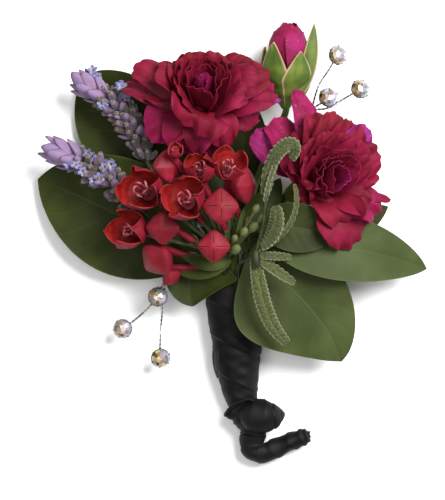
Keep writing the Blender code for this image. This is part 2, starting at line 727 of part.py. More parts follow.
def lavender_bracts(name):
    spike = LAVENDER[name]
    axis = vectors(spike["axis"])
    root, ahead = point_along(axis, 0.70)
    tip, _ = point_along(axis, 1.0)
    length = (tip - root).length
    side, _ = across(ahead)
    start = root + ahead * (GAP + 0.9)
    lobes = [(360 * k / BRACTS, (0.42 if k % 2 else 0.26) * length, -0.8 * (k % 2)) for k in range(BRACTS)]
    outside = [(0, 1.4, 0), (0.12 * length, 4.6, 0), (0.34 * length, 5.9, 0.2), (0.52 * length, 4.2, 1)]
    inside = [(0.5 * length, 3.5, 1), (0.36 * length, 4.8, 0.1), (0.2 * length, 2.4, 0)]
    cup = lobed_cup(start, ahead, side, outside, inside, lobes, 3)
    return finish(mesh_object(name + "_bracts", cup), "bract")


# Bouvardia


def bouvardia_axis(head):
    hub = Vector(BOUVARDIA_HUB)
    straight = (head - hub).normalized()
    return (straight + Vector((0, 0, 0.25))).normalized()


def bouvardia_tube_length(head):
    return min(12.0, 0.55 * (head - Vector(BOUVARDIA_HUB)).length)


def bouvardia_flower(index):
    """A tube with four petals at its head, either open round a throat or shut in a lantern."""
    place, size, state = BOUVARDIA_FLOWERS[index]
    head = Vector(place)
    axis = bouvardia_axis(head)
    side, _ = across(axis)
    neck = head - axis * (size * 0.7)
    tube_length = bouvardia_tube_length(head) - size * 0.7
    below = [(-tube_length, 0.95, 0), (-0.5 * tube_length, 1.1, 0), (0.0, 0.36 * size, 0)]
    if state == "open":
        lobes = [(90 * k, 0.85 * size, 0.1 * size) for k in range(4)]
        outside = [*below, (0.5 * size, 0.82 * size, 0.2), (0.75 * size, 0.84 * size, 1)]
        inside = [(0.75 * size, 0.84 * size - 0.7, 1), (0.5 * size, 0.82 * size - 0.8, 0.1),
                  (0.15 * size, 0.26 * size, 0)]
    else:
        lobes = [(90 * k, 0.0, -0.26 * size) for k in range(4)]
        outside = [*below, (0.45 * size, 0.86 * size, 0.7), (0.8 * size, 0.96 * size, 1),
                   (1.4 * size, 0.12 * size, 0)]
        inside = []
    cup = lobed_cup(neck, axis, side, outside, inside, lobes, 3 if state == "open" else 2)
    return finish(mesh_object(f"bouvardia_flower_{index + 1:02d}", cup), "bouvardia")


def bouvardia_stalks():
    hub = Vector(BOUVARDIA_HUB)
    shapes = [stem_shape("bouvardia", [(-3.6, 20.5, 13.4), hub])]
    for place, size, _ in BOUVARDIA_FLOWERS:
        head = Vector(place)
        axis = bouvardia_axis(head)
        base = head - axis * bouvardia_tube_length(head)
        end = base - axis * (2 * GAP)
        path = [hub, hub.lerp(end, 0.55) - axis * 0.5, end]
        shapes.append(tube(path, [0.9, 0.75, 1.15], 5))
    for place, radius in BOUVARDIA_BUDS:
        tip = Vector(place)
        ahead = (tip - hub).normalized()
        path = [hub, tip - ahead * (3.2 * radius), tip - ahead * (1.4 * radius), tip]
        shapes.append(tube(path, [0.6, 0.5, radius, 0.4 * radius], 5))
    return finish(united("bouvardia_stalks", shapes), "stalk")


# Foliage


def fringed_rows(midrib, half_width, face, teeth):
    """Grid of a narrow leaf whose margins are rounded teeth."""
    def outline(t):
        body = math.sin(math.pi * (0.08 + 0.84 * t)) ** 0.45
        return body * (1 - 0.22 * (round(t * teeth * 2) % 2))

    return blade_rows(midrib, half_width, outline, face, 2 * teeth + 1, 3, cup=-0.35)


def lavender_foliage():
    shapes = [stem_shape("foliage", FOLIAGE_STEM, steps=2)]
    for midrib, half_width, teeth, face in FOLIAGE_LEAVES:
        rows = fringed_rows(vectors(midrib), half_width, Vector(face), teeth)
        shapes.append(sheet_shape(rows, 0.8))
    return finish(united("lavender_foliage", shapes), "foliage")


# Crystal sprays


def cup_base(stone):
    place, look = stone
    axis = Vector(look).normalized()
    return Vector(place), axis


def wire_spray(name):
    spray = SPRAYS[name]
    shapes = [stem_shape(name, spray["trunk"])]
    for branch, stone in zip(spray["branches"], spray["stones"]):
        centre, axis = cup_base(stone)
        back = centre - axis * 2.6
        route = through([*vectors(branch), back], 1)
        shapes.append(tube([*route, back + axis * 0.5], [WIRE_RADIUS] * (len(route) + 1), 5))
        outer = STONE_RADIUS + 0.65
        profile = [(-2.7, 1.2), (-1.2, outer - 0.5), (0.5, outer), (0.5, STONE_RADIUS + 0.15),
                   (-0.2, STONE_RADIUS + 0.1), (-1.9, 0.5)]
        shapes.append(turned(centre, axis, profile, 8))
    return finish(united(name + "_wires", shapes), "metal")


def stones(name):
    for index, stone in enumerate(SPRAYS[name]["stones"]):
        centre, axis = cup_base(stone)
        lift = GAP * 0.6
        profile = [(-1.7 + lift, 0.3), (0.0, STONE_RADIUS - 0.15), (0.35 + lift, STONE_RADIUS - 0.1),
                   (1.5 + lift, 1.55)]
        stone_object = mesh_object(f"{name}_crystal_{index + 1}", turned(centre, axis, profile, 8))
        finish(stone_object, "crystal")


def build():
    clear_scene()
    ribbon_wrap()
    taped_core()
    for name in LEAVES:
        salal_leaf(name)
    for name in CARNATIONS:
        carnation_bloom(name)
        carnation_calyx(name)
    bud_petals()
    bud_calyx()
    for name in LAVENDER:
        lavender_spike(name)
        lavender_bracts(name)
    bouvardia_stalks()
    for index in range(len(BOUVARDIA_FLOWERS)):
        bouvardia_flower(index)
    lavender_foliage()
    for name in SPRAYS:
        wire_spray(name)
        stones(name)


build()
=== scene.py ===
"""A flower boutonniere lying on a white table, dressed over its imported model.

Lengths in the tables below are millimetres in the model's frame: +X right, +Y from the ribbon-wrapped
handle to the blooms, +Z up from the table. A finished piece is in metres, at the origin.
"""

import math
import random

import bpy
import numpy as np
from mathutils import Matrix, Vector


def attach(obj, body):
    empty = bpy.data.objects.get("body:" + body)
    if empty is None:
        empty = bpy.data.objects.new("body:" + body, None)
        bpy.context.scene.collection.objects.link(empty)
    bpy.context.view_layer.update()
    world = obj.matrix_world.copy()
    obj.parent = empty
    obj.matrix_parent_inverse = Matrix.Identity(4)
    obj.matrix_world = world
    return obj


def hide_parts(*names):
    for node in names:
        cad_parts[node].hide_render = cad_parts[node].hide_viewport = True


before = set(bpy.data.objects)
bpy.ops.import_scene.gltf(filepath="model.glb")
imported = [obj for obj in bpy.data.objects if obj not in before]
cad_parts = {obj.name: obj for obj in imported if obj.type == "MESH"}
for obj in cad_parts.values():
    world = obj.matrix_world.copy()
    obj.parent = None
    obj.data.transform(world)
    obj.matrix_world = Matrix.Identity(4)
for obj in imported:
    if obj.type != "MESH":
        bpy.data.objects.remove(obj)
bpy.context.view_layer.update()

MM = 0.001
TURN = 2 * math.pi


# Selecting, joining and finishing, as by hand


def alone(obj):
    bpy.ops.object.select_all(action="DESELECT")
    obj.select_set(True)
    bpy.context.view_layer.objects.active = obj
    return obj


def joined(name, parts):
    bpy.ops.object.select_all(action="DESELECT")
    for part in parts:
        part.select_set(True)
    bpy.context.view_layer.objects.active = parts[0]
    if len(parts) > 1:
        bpy.ops.object.join()
    whole = bpy.context.view_layer.objects.active
    whole.name = whole.data.name = name
    return whole


def modified(obj, kind, **settings):
    step = obj.modifiers.new(kind.lower(), kind)
    for key, value in settings.items():
        setattr(step, key, value)
    alone(obj)
    bpy.ops.object.modifier_apply(modifier=step.name)
    return obj


def welded(obj):
    """obj with the seams and poles of its wrapped shapes closed, and its faces turned outwards."""
    alone(obj)
    bpy.ops.object.mode_set(mode="EDIT")
    bpy.ops.mesh.select_all(action="SELECT")
    bpy.ops.mesh.remove_doubles(threshold=2e-7)
    bpy.ops.mesh.normals_make_consistent(inside=False)
    bpy.ops.object.mode_set(mode="OBJECT")
    return obj


def smoother(obj, levels=1):
    return modified(obj, "SUBSURF", levels=levels, render_levels=levels)


def thickened(obj, thickness):
    return modified(obj, "SOLIDIFY", thickness=thickness * MM, offset=0.0)


def dressed(name, parts, nodes, angle=60):
    """The finished piece: joined, smooth, riding on the root body in place of its CAD nodes."""
    piece = joined(name, parts)
    alone(piece)
    bpy.ops.object.shade_smooth_by_angle(angle=math.radians(angle))
    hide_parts(*nodes)
    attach(piece, "root")
    return piece


def painted(obj, material):
    obj.data.materials.clear()
    obj.data.materials.append(material)
    return obj


# Curves


def vectors(points):
    return [Vector(p) for p in points]


def bezier(points, t):
    level = list(points)
    while len(level) > 1:
        level = [a.lerp(b, t) for a, b in zip(level, level[1:])]
    return level[0]


def slope(points, t):
    return (bezier(points, min(t + 0.01, 1.0)) - bezier(points, max(t - 0.01, 0.0))).normalized()


def through(points, steps):
    """A smooth curve through the points, with this many steps between each two."""
    points = vectors(points)
    padded = [2 * points[0] - points[1], *points, 2 * points[-1] - points[-2]]
    curve = []
    for a, b, c, d in zip(padded, padded[1:], padded[2:], padded[3:]):
        for k in range(steps):
            t = k / steps
            curve.append(0.5 * (2 * b + (c - a) * t + (2 * a - 5 * b + 4 * c - d) * t * t
                                + (3 * b - a - 3 * c + d) * t ** 3))
    return [*curve, points[-1].copy()]


def spread(values, steps):
    fine = [a + (b - a) * k / steps for a, b in zip(values, values[1:]) for k in range(steps)]
    return [*fine, values[-1]]


def partway(path, share):
    """Point and direction at a share of a fine path."""
    place = share * (len(path) - 1)
    i = min(int(place), len(path) - 2)
    return path[i].lerp(path[i + 1], place - i), (path[i + 1] - path[i]).normalized()


def across(direction):
    helper = Vector((0, 0, 1)) if abs(direction.z) < 0.9 else Vector((1, 0, 0))
    side = direction.cross(helper).normalized()
    return side, direction.cross(side).normalized()


def smooth_step(t):
    t = min(max(t, 0.0), 1.0)
    return t * t * (3 - 2 * t)


# Sheets and wrapped bodies, each a grid primitive whose points are moved into place

GRIDS = {}


def sheet(rows, tint=0.0):
    """A sheet on rows of points. Its UV map runs across and along it, and its tint is kept on its points."""
    high, wide = len(rows), len(rows[0])
    if (wide, high) not in GRIDS:
        bpy.ops.mesh.primitive_grid_add(x_subdivisions=wide - 1, y_subdivisions=high - 1, size=1)
        first = bpy.context.object
        GRIDS[wide, high] = first.data
        bpy.data.objects.remove(first)
    mesh = GRIDS[wide, high].copy()
    assert len(mesh.vertices) == wide * high
    mesh.vertices.foreach_set("co", (np.array(rows, float) * MM).ravel())
    values = mesh.attributes.new("tint", "FLOAT", "POINT")
    values.data.foreach_set("value", np.full(wide * high, tint) if np.isscalar(tint) else np.ravel(tint))
    made = bpy.data.objects.new("sheet", mesh)
    bpy.context.scene.collection.objects.link(made)
    return made


def body(path, section, sides, tint=0.0, panels=1):
    """A closed body round a path. section(i, angle) gives its radius, and its UV map counts the panels round it."""
    rows = []
    side, _ = across((path[1] - path[0]).normalized())
    last = len(path) - 1
    for i, centre in enumerate(path):
        ahead = (path[min(i + 1, last)] - path[max(i - 1, 0)]).normalized()
        side = (side - ahead * side.dot(ahead)).normalized()
        up = ahead.cross(side)
        ring = []
        for k in range(sides):
            angle = TURN * k / sides
            ring.append(centre + section(i, angle) * (side * math.cos(angle) + up * math.sin(angle)))
        rows.append([*ring, ring[0].copy()])
    shut = [[path[end].copy() for _ in rows[0]] for end in (0, -1)]
    made = sheet([shut[0], *rows, shut[1]], tint)
    places = np.zeros(len(made.data.loops) * 2)
    made.data.uv_layers[0].uv.foreach_get("vector", places)
    places[::2] *= panels
    made.data.uv_layers[0].uv.foreach_set("vector", places)
    return made


def rod(path, radii, sides=8, tint=0.0):
    if not isinstance(radii, (list, tuple)):
        radii = [radii] * len(path)
    return body(path, lambda i, angle: radii[i], sides, tint)


def copied(model, matrix, tint=None):
    """A copy of a modelled part, with its own mesh, put in place by a matrix in mm."""
    made = bpy.data.objects.new(model.name, model.data.copy())
    place = matrix.copy()
    place.translation = place.translation * MM
    made.data.transform(place)
    if tint is not None:
        made.data.attributes["tint"].data.foreach_set("value", np.full(len(made.data.vertices), tint))
    bpy.context.scene.collection.objects.link(made)
    return made


def standing(place, axis, size=1.0, roll=0.0):
    """The matrix that stands a part modelled along +Z on a place, along an axis."""
    turn = axis.to_track_quat("Z", "Y").to_matrix() @ Matrix.Rotation(roll, 3, "Z")
    return Matrix.LocRotScale(Vector(place), turn, Vector((size, size, size)))


def facing(place, aim, out, size):
    """The matrix that stands a part on a place, along aim, with its +Y side outwards."""
    outward = (out - aim * out.dot(aim)).normalized()
    turn = Matrix((outward.cross(aim), outward, aim)).transposed()
    return Matrix.LocRotScale(Vector(place), turn, Vector((size, size, size)))


# Materials


STUDIO_LIGHT = 1.6  # how much brighter a surface shows than its own colour


def tone(code, light=STUDIO_LIGHT):
    """The surface colour that shows as this screen colour in the studio's light."""
    parts = [int(code[i:i + 2], 16) / 255 for i in (1, 3, 5)]
    linear = [p / 12.92 if p <= 0.04045 else ((p + 0.055) / 1.055) ** 2.4 for p in parts]
    return (*[p / light for p in linear], 1.0)


class Value:
    """A node's output. A sum on it adds Math nodes."""

    def __init__(self, finish, output):
        self.finish, self.output = finish, output

    def math(self, operation, *values):
        return self.finish.node("ShaderNodeMath", {"operation": operation}, values)

    def __add__(self, other):
        return self.math("ADD", self, other)

    def __sub__(self, other):
        return self.math("SUBTRACT", self, other)

    def __rsub__(self, other):
        return self.math("SUBTRACT", other, self)

    def __mul__(self, other):
        return self.math("MULTIPLY", self, other)

    def __truediv__(self, other):
        return self.math("DIVIDE", self, other)

    def __pow__(self, other):
        return self.math("POWER", self, other)

    def __abs__(self):
        return self.math("ABSOLUTE", self)

    __radd__, __rmul__ = __add__, __mul__

    def fraction(self):
        return self.math("FRACT", self)

    def wave(self):
        return self.math("SINE", self)

    def between(self, low, high):
        """0 below low and 1 above high, smooth between."""
        return self.finish.node("ShaderNodeMapRange", {"interpolation_type": "SMOOTHSTEP"},
                                {"Value": self, "From Min": low, "From Max": high})


class Finish:
    """A material being mixed round its Principled shader."""

    def __init__(self, name, **plain):
        self.material = bpy.data.materials.new(name)
        self.material.use_nodes = True
        self.tree = self.material.node_tree
        self.shader = self.tree.nodes["Principled BSDF"]
        self.set(**plain)

    def set(self, **sockets):
        for name, value in sockets.items():
            self.join(self.shader.inputs[name.replace("_", " ")], value)
        return self

    def join(self, socket, value):
        if isinstance(value, Value):
            self.tree.links.new(value.output, socket)
        else:
            socket.default_value = value

    def node(self, kind, settings=(), inputs=(), output=0):
        made = self.tree.nodes.new(kind)
        for key, value in dict(settings).items():
            if key == "stops":
                while len(made.color_ramp.elements) < len(value):
                    made.color_ramp.elements.new(0.5)
                for element, (place, colour) in zip(made.color_ramp.elements, value):
                    element.position, element.color = place, colour
            else:
                setattr(made, key, value)
        for key, value in inputs.items() if isinstance(inputs, dict) else enumerate(inputs):
            self.join(made.inputs[key], value)
        return Value(self, made.outputs[output])

    def place(self):
        return self.node("ShaderNodeTexCoord", output="Object")

    def noise(self, size, detail=2.0, stretch=None, roughness=0.5):
        """Cloudy noise with patches of about this many mm."""
        place = self.place()
        if stretch:
            place = self.node("ShaderNodeMapping", inputs={"Vector": place, "Scale": stretch})
        return self.node("ShaderNodeTexNoise",
                         inputs={"Vector": place, "Scale": 1000 / size, "Detail": detail, "Roughness": roughness})

    def cells(self, size):
        return self.node("ShaderNodeTexVoronoi", inputs={"Vector": self.place(), "Scale": 1000 / size})

    def grain(self, across, along):
        """Noise drawn out along a sheet, with about this many streaks across it."""
        place = self.node("ShaderNodeMapping", inputs={"Vector": self.node("ShaderNodeUVMap", {"uv_map": "UVMap"}),
                                                       "Scale": (across, along, 1)})
        return self.node("ShaderNodeTexNoise", inputs={"Vector": place, "Scale": 1.0, "Detail": 3.0})

    def uv(self):
        """How far across, from -1 to 1, and how far along the sheet."""
        split = self.node("ShaderNodeSeparateXYZ", inputs=[self.node("ShaderNodeUVMap", {"uv_map": "UVMap"})])
        return split.fraction() * 2 - 1, Value(self, split.output.node.outputs["Y"])

    def edge(self):
        v, t = self.uv()
        return abs(v).between(0.86, 1.0)

    def tint(self):
        return self.node("ShaderNodeAttribute", {"attribute_name": "tint"}, output="Fac")

    def mix(self, share, low, high):
        made = self.node("ShaderNodeMix", {"data_type": "RGBA", "clamp_factor": True}, output=2)
        mixer = made.output.node
        self.join(mixer.inputs[0], share)
        self.join(mixer.inputs[6], low)
        self.join(mixer.inputs[7], high)
        return made

    def bump(self, height, depth, strength=1.0):
        """depth is the height of 1, in mm."""
        made = self.node("ShaderNodeBump", inputs={"Height": height, "Distance": depth * MM, "Strength": strength})
        self.set(Normal=made)
        return self


def satin_ribbon():
    f = Finish("satin_ribbon", Specular_IOR_Level=0.12)
    clouds = f.noise(9, 3)
    threads = f.noise(0.5, 1, stretch=(1, 0.12, 1))
    colour = f.mix(clouds.between(0.35, 0.7), tone("#0d0b0c"), tone("#191617"))
    f.set(Base_Color=colour, Roughness=clouds * 0.16 + 0.5)
    f.bump(threads * 0.5 + clouds * 1.5, 0.06, 0.6)
    return f.material


def salal_leaf():
    f = Finish("salal_leaf", Specular_IOR_Level=0.08)
    v, t = f.uv()
    grey = f.tint()
    clouds = f.noise(16, 2)
    deep = f.mix(clouds.between(0.3, 0.75), tone("#262c08"), tone("#3c4514"))
    pale = f.mix(clouds.between(0.3, 0.75), tone("#424d28"), tone("#566239"))
    blade = f.mix(grey, deep, pale)
    side = abs(v)
    phase = (t - side * 0.22) * 8
    vein = 1 - abs(phase.fraction() - 0.5).between(0.0, 0.05)
    fine = 1 - f.cells(1.4).between(0.0, 0.3)
    rib = 1 - side.between(0.0, 0.03)
    lines = (vein * 0.4 * (1 - side.between(0.7, 0.95)) + rib * 0.8).math("MINIMUM", vein * 0.4 + rib * 0.8, 1.0)
    colour = f.mix(lines * 0.13, blade, tone("#8a9662"))
    colour = f.mix(fine * 0.12, colour, tone("#20260e"))
    colour = f.mix(side.between(0.97, 1.0) * 0.3, colour, tone("#76833f"))
    f.set(Base_Color=colour, Roughness=clouds * 0.2 + 0.44)
    f.bump(fine * 0.12 + f.noise(3, 2) * 0.5 - lines * 0.5, 0.2, 0.6)
    return f.material


def carnation_petal():
    f = Finish("carnation_petal", Specular_IOR_Level=0.12)
    v, t = f.uv()
    hue = f.tint() + f.noise(7, 2) * 0.3 - 0.15
    streaks = f.grain(26, 2.2)
    clouds = f.noise(5, 3)
    crimson = f.mix(clouds.between(0.3, 0.7), tone("#680b1b"), tone("#86142c"))
    magenta_and_sheen = f.mix(clouds.between(0.3, 0.7), tone("#800e3a"), tone("#9e1a56"))
    violet_and_sheen = f.mix(clouds.between(0.3, 0.7), tone("#7c1c72"), tone("#983488"))
    spread = t.between(0.25, 0.85)
    # Magenta and violet towards the outer parts of some petals: partly their own colour, partly painted sheen where
    # light grazes them
    colour = f.mix(hue * spread, crimson, magenta_and_sheen)
    colour = f.mix((hue - 0.9) * 1.6 * spread, colour, violet_and_sheen)
    # Darker towards the petal bases: painted shade deep in the bloom
    colour = f.mix((1 - t.between(0.15, 0.55)) * 0.55, colour, tone("#48091a"))
    colour = f.mix(streaks.between(0.5, 0.8) * 0.15, colour, tone("#a82850"))
    colour = f.mix((1 - streaks.between(0.2, 0.45)) * 0.25, colour, tone("#5e0c20"))
    # Pale pink specks on the magenta petals: painted glints
    glint_specks = (f.noise(0.9, 2).between(0.62, 0.72)) * hue.between(0.7, 1.0) * t.between(0.5, 0.8)
    colour = f.mix(glint_specks * 0.35, colour, tone("#c8709c"))
    f.set(Base_Color=colour, Roughness=clouds * 0.15 + 0.58)
    f.bump(streaks * 0.8 + clouds, 0.2, 0.6)
    return f.material


def sepal_green():
    f = Finish("sepal_green", Roughness=0.5, Specular_IOR_Level=0.2)
    v, t = f.uv()
    lines = f.noise(1.2, 2, stretch=(1, 0.12, 1))
    clouds = f.noise(6, 2)
    blade = f.mix(clouds.between(0.3, 0.7), tone("#4b6424"), tone("#728232"))
    blade = f.mix(lines.between(0.4, 0.7) * 0.45, blade, tone("#476226"))
    edge = abs(v).between(0.8, 0.96) * f.tint()
    colour = f.mix(edge * 0.85, blade, tone("#d0a98e"))
    f.set(Base_Color=colour)
    f.bump(lines, 0.1, 0.6)
    return f.material


def lavender_calyx():
    f = Finish("lavender_calyx", Roughness=0.9, Sheen_Weight=0.2, Sheen_Roughness=0.6, Specular_IOR_Level=0.1)
    v, t = f.uv()
    clouds = f.noise(2.2, 3)
    down = f.noise(0.28, 2)
    colour = f.mix(clouds.between(0.3, 0.7), tone("#3a2e2c"), tone("#614c56"))
    colour = f.mix(f.tint() * 0.8, colour, tone("#80648f"))
    colour = f.mix((1 - t.between(0.1, 0.5)) * 0.6, colour, tone("#4a5034"))
    colour = f.mix(down.between(0.5, 0.75) * 0.3, colour, tone("#988a8c"))
    rim = t.between(0.5, 0.62) * (1 - t.between(0.66, 0.74))
    colour = f.mix(rim * 0.5, colour, tone("#a39c7c"))
    # Dark past the mouth, on the calyx's inner wall: painted shade in its hollow
    colour = f.mix(t.between(0.70, 0.8), colour, tone("#241a20"))
    f.set(Base_Color=colour)
    f.bump(down, 0.12, 0.8)
    return f.material


def lavender_bract():
    f = Finish("lavender_bract", Roughness=0.75, Sheen_Weight=0.1, Sheen_Roughness=0.5, Specular_IOR_Level=0.15)
    v, t = f.uv()
    lines = f.grain(14, 1.2)
    colour = f.mix(lines.between(0.3, 0.7), tone("#84698f"), tone("#a28ab2"))
    colour = f.mix(f.noise(4, 2).between(0.45, 0.75) * 0.6, colour, tone("#a8859f"))
    colour = f.mix((1 - t.between(0.0, 0.35)) * 0.6, colour, tone("#6c5a6a"))
    edge = abs(v).between(0.7, 0.98).math("MAXIMUM", abs(v).between(0.7, 0.98), t.between(0.88, 1.0))
    colour = f.mix(edge * 0.75, colour, tone("#573f5c"))
    f.set(Base_Color=colour)
    f.bump(lines, 0.12, 0.6)
    return f.material


def lavender_floret():
    f = Finish("lavender_floret", Roughness=0.65, Sheen_Weight=0.1, Specular_IOR_Level=0.15)
    throat = f.tint()
    patch = f.noise(1.2, 2)
    colour = f.mix(patch.between(0.35, 0.65), tone("#6c679e"), tone("#928cbe"))
    colour = f.mix(throat.between(0.3, 0.6) * 0.55, colour, tone("#bcb8cc"))
    colour = f.mix(throat.between(0.7, 0.97), colour, tone("#a4aa5c"))
    f.set(Base_Color=colour)
    f.bump(patch, 0.08, 0.5)
    return f.material


def bouvardia_petal():
    f = Finish("bouvardia_petal", Specular_IOR_Level=0.18)
    v, t = f.uv()
    inner, seam = f.tint().between(0.4, 0.6), f.tint().between(1.1, 1.9)
    clouds = f.noise(4, 3)
    streaks = f.grain(7, 1.2)
    outside = f.mix(clouds.between(0.3, 0.7), tone("#780e22"), tone("#941830"))
    inside = f.mix(clouds.between(0.3, 0.7), tone("#7c0c0e"), tone("#a8241c"))
    colour = f.mix(inner * (1 - seam), outside, inside)
    fading = 1 - t.between(0.55, 0.8)
    colour = f.mix(streaks.between(0.5, 0.8) * 0.4 * fading, colour, tone("#6a0e1c"))
    colour = f.mix((1 - streaks.between(0.2, 0.45)) * 0.3 * fading, colour, tone("#a83042"))
    colour = f.mix(clouds.between(0.5, 0.75) * 0.3, colour, tone("#aa2c3e"))
    colour = f.mix(f.edge() * 0.2, colour, tone("#b8564c"))
    # A dark cross along the grooves where shut petals meet, and over their tips: painted shade
    colour = f.mix(seam, colour, tone("#2a0508"))
    # Darker towards the foot of each petal and tube: painted shade deep among the flowers
    colour = f.mix((1 - t.between(0.0, 0.35)) * 0.6, colour, tone("#560a18"))
    f.set(Base_Color=colour, Roughness=clouds * 0.14 + 0.48)
    f.bump(streaks * 0.8 * fading + clouds, 0.16, 0.7)
    return f.material


def bouvardia_heart():
    f = Finish("bouvardia_heart", Roughness=0.6, Specular_IOR_Level=0.2)
    f.set(Base_Color=f.mix(f.noise(0.9, 2).between(0.35, 0.65), tone("#99243a"), tone("#c4707a")))
    return f.material


def green_stalk():
    f = Finish("green_stalk", Roughness=0.6, Specular_IOR_Level=0.25)
    lines = f.noise(1.0, 2, stretch=(1, 0.15, 1))
    # The stalks' own dark green, made darker still: painted shade among the flowers and leaves
    colour = f.mix(lines.between(0.35, 0.7), tone("#1f260f"), tone("#3f4c22"))
    bud = f.mix(f.noise(1.6, 2).between(0.4, 0.7), tone("#66713a"), tone("#7d7a52"))
    colour = f.mix(f.tint(), colour, bud)
    f.set(Base_Color=colour)
    f.bump(lines, 0.1, 0.6)
    return f.material


def downy_foliage():
    f = Finish("downy_foliage", Roughness=0.9, Sheen_Weight=0.15, Sheen_Roughness=0.5, Specular_IOR_Level=0.1)
    v, t = f.uv()
    down = f.noise(0.4, 3)
    beads = f.cells(0.8)
    colour = f.mix(down.between(0.35, 0.65), tone("#3d4424"), tone("#6c7349"))
    colour = f.mix(beads.between(0.25, 0.6) * 0.35, colour, tone("#2c3118"))
    colour = f.mix((1 - abs(v).between(0.0, 0.3)) * 0.35 * f.tint(), colour, tone("#7e8642"))
    colour = f.mix(abs(v).between(0.72, 0.98) * 0.6, colour, tone("#9aa07c"))
    f.set(Base_Color=colour)
    f.bump(down - beads * 0.8, 0.25, 0.8)
    return f.material


def floral_tape():
    f = Finish("floral_tape", Roughness=0.8)
    folds = f.noise(2.5, 3, stretch=(1, 2.5, 1))
    f.set(Base_Color=f.mix(folds.between(0.3, 0.7), tone("#182008"), tone("#30401c")))
    f.bump(folds, 0.25, 0.8)
    return f.material


def silver():
    f = Finish("silver_wire", Metallic=1.0)
    wear = f.noise(1.5, 3)
    f.set(Base_Color=f.mix(wear.between(0.3, 0.7), tone("#8d8781"), tone("#d6d0c8")), Roughness=wear * 0.2 + 0.2)
    f.bump(wear, 0.03, 0.5)
    return f.material


def iridescent_crystal():
    """Each facet's tint runs from the coating's dark gold (0) to its pale lilac and white (1); facets turned towards
    the light take the pale end, a painted reflection over the coating's own colours.
    """
    f = Finish("iridescent_crystal", Metallic=0.3, Roughness=0.12, Coat_Weight=0.6, Coat_Roughness=0.04)
    colour = f.node("ShaderNodeValToRGB", {"stops": [
        (0.0, tone("#2e1f0c")), (0.14, tone("#5d4f26")), (0.28, tone("#94703c")), (0.42, tone("#dcc48c")),
        (0.54, tone("#7d7474")), (0.66, tone("#dcd2e4")), (0.76, tone("#9a86b8")), (0.86, tone("#98b8ac")),
        (0.94, tone("#c4b6d2")), (1.0, tone("#f2eef4"))]}, [f.tint()])
    # Faint whitish patches over the facets: painted sparkle
    f.set(Base_Color=f.mix(f.noise(1.0, 1).between(0.5, 0.8) * 0.2, colour, tone("#f4f0f4")))
    return f.material


def white_table():
    f = Finish("white_table", Roughness=0.8, Specular_IOR_Level=0.05)
    f.set(Base_Color=f.mix(f.noise(60, 2), tone("#f4f4f4", 1.0), tone("#fbfbfb", 1.0)))
    return f.material


RIBBON, SALAL, PETAL, SEPAL = satin_ribbon(), salal_leaf(), carnation_petal(), sepal_green()
CALYX, BRACT, FLORET = lavender_calyx(), lavender_bract(), lavender_floret()
BOUVARDIA, HEART, STALK = bouvardia_petal(), bouvardia_heart(), green_stalk()
FOLIAGE, TAPE, SILVER, CRYSTAL = downy_foliage(), floral_tape(), silver(), iridescent_crystal()


# The handle's mouth and the stems that come out of it

MOUTH = Vector((-1.4, 15.5, 6.75))
STEM_SPOTS = {  # x and z from the mouth's centre, and radius
    "leaf_lower_left": (-4.5, -3.1, 0.7), "leaf_upper_left": (-2.0, -3.9, 0.7), "leaf_back": (0.7, -4.0, 0.7),
    "leaf_right_back": (3.4, -3.5, 0.7), "lavender_lower": (-5.4, -0.8, 0.75),
    "lavender_upper": (-3.2, -1.2, 0.75), "carnation_left": (-0.5, -1.0, 1.2),
    "carnation_right": (2.7, -0.9, 1.2), "spray_right": (5.6, -1.0, 0.5), "spray_left": (-5.4, 1.6, 0.5),
    "leaf_lower_middle": (-3.7, 1.5, 0.7), "bud": (-0.9, 1.8, 1.0), "leaf_right_front": (1.8, 1.6, 0.7),
    "leaf_right": (4.3, 1.5, 0.7), "bouvardia": (-2.4, 3.8, 1.0), "foliage": (0.5, 4.2, 0.8),
    "leaf_lower_right": (3.1, 3.8, 0.7),
}


def stem_path(spot, route, steps=5):
    x, z, _ = STEM_SPOTS[spot]
    start = MOUTH + Vector((x, 0, z))
    return [start + Vector((0, -7.0, 0)), *through([start, *route], steps)]


def stem(spot, route, tint=0.0, sides=10):
    return rod(stem_path(spot, route), STEM_SPOTS[spot][2], sides, tint)


# Salal leaves

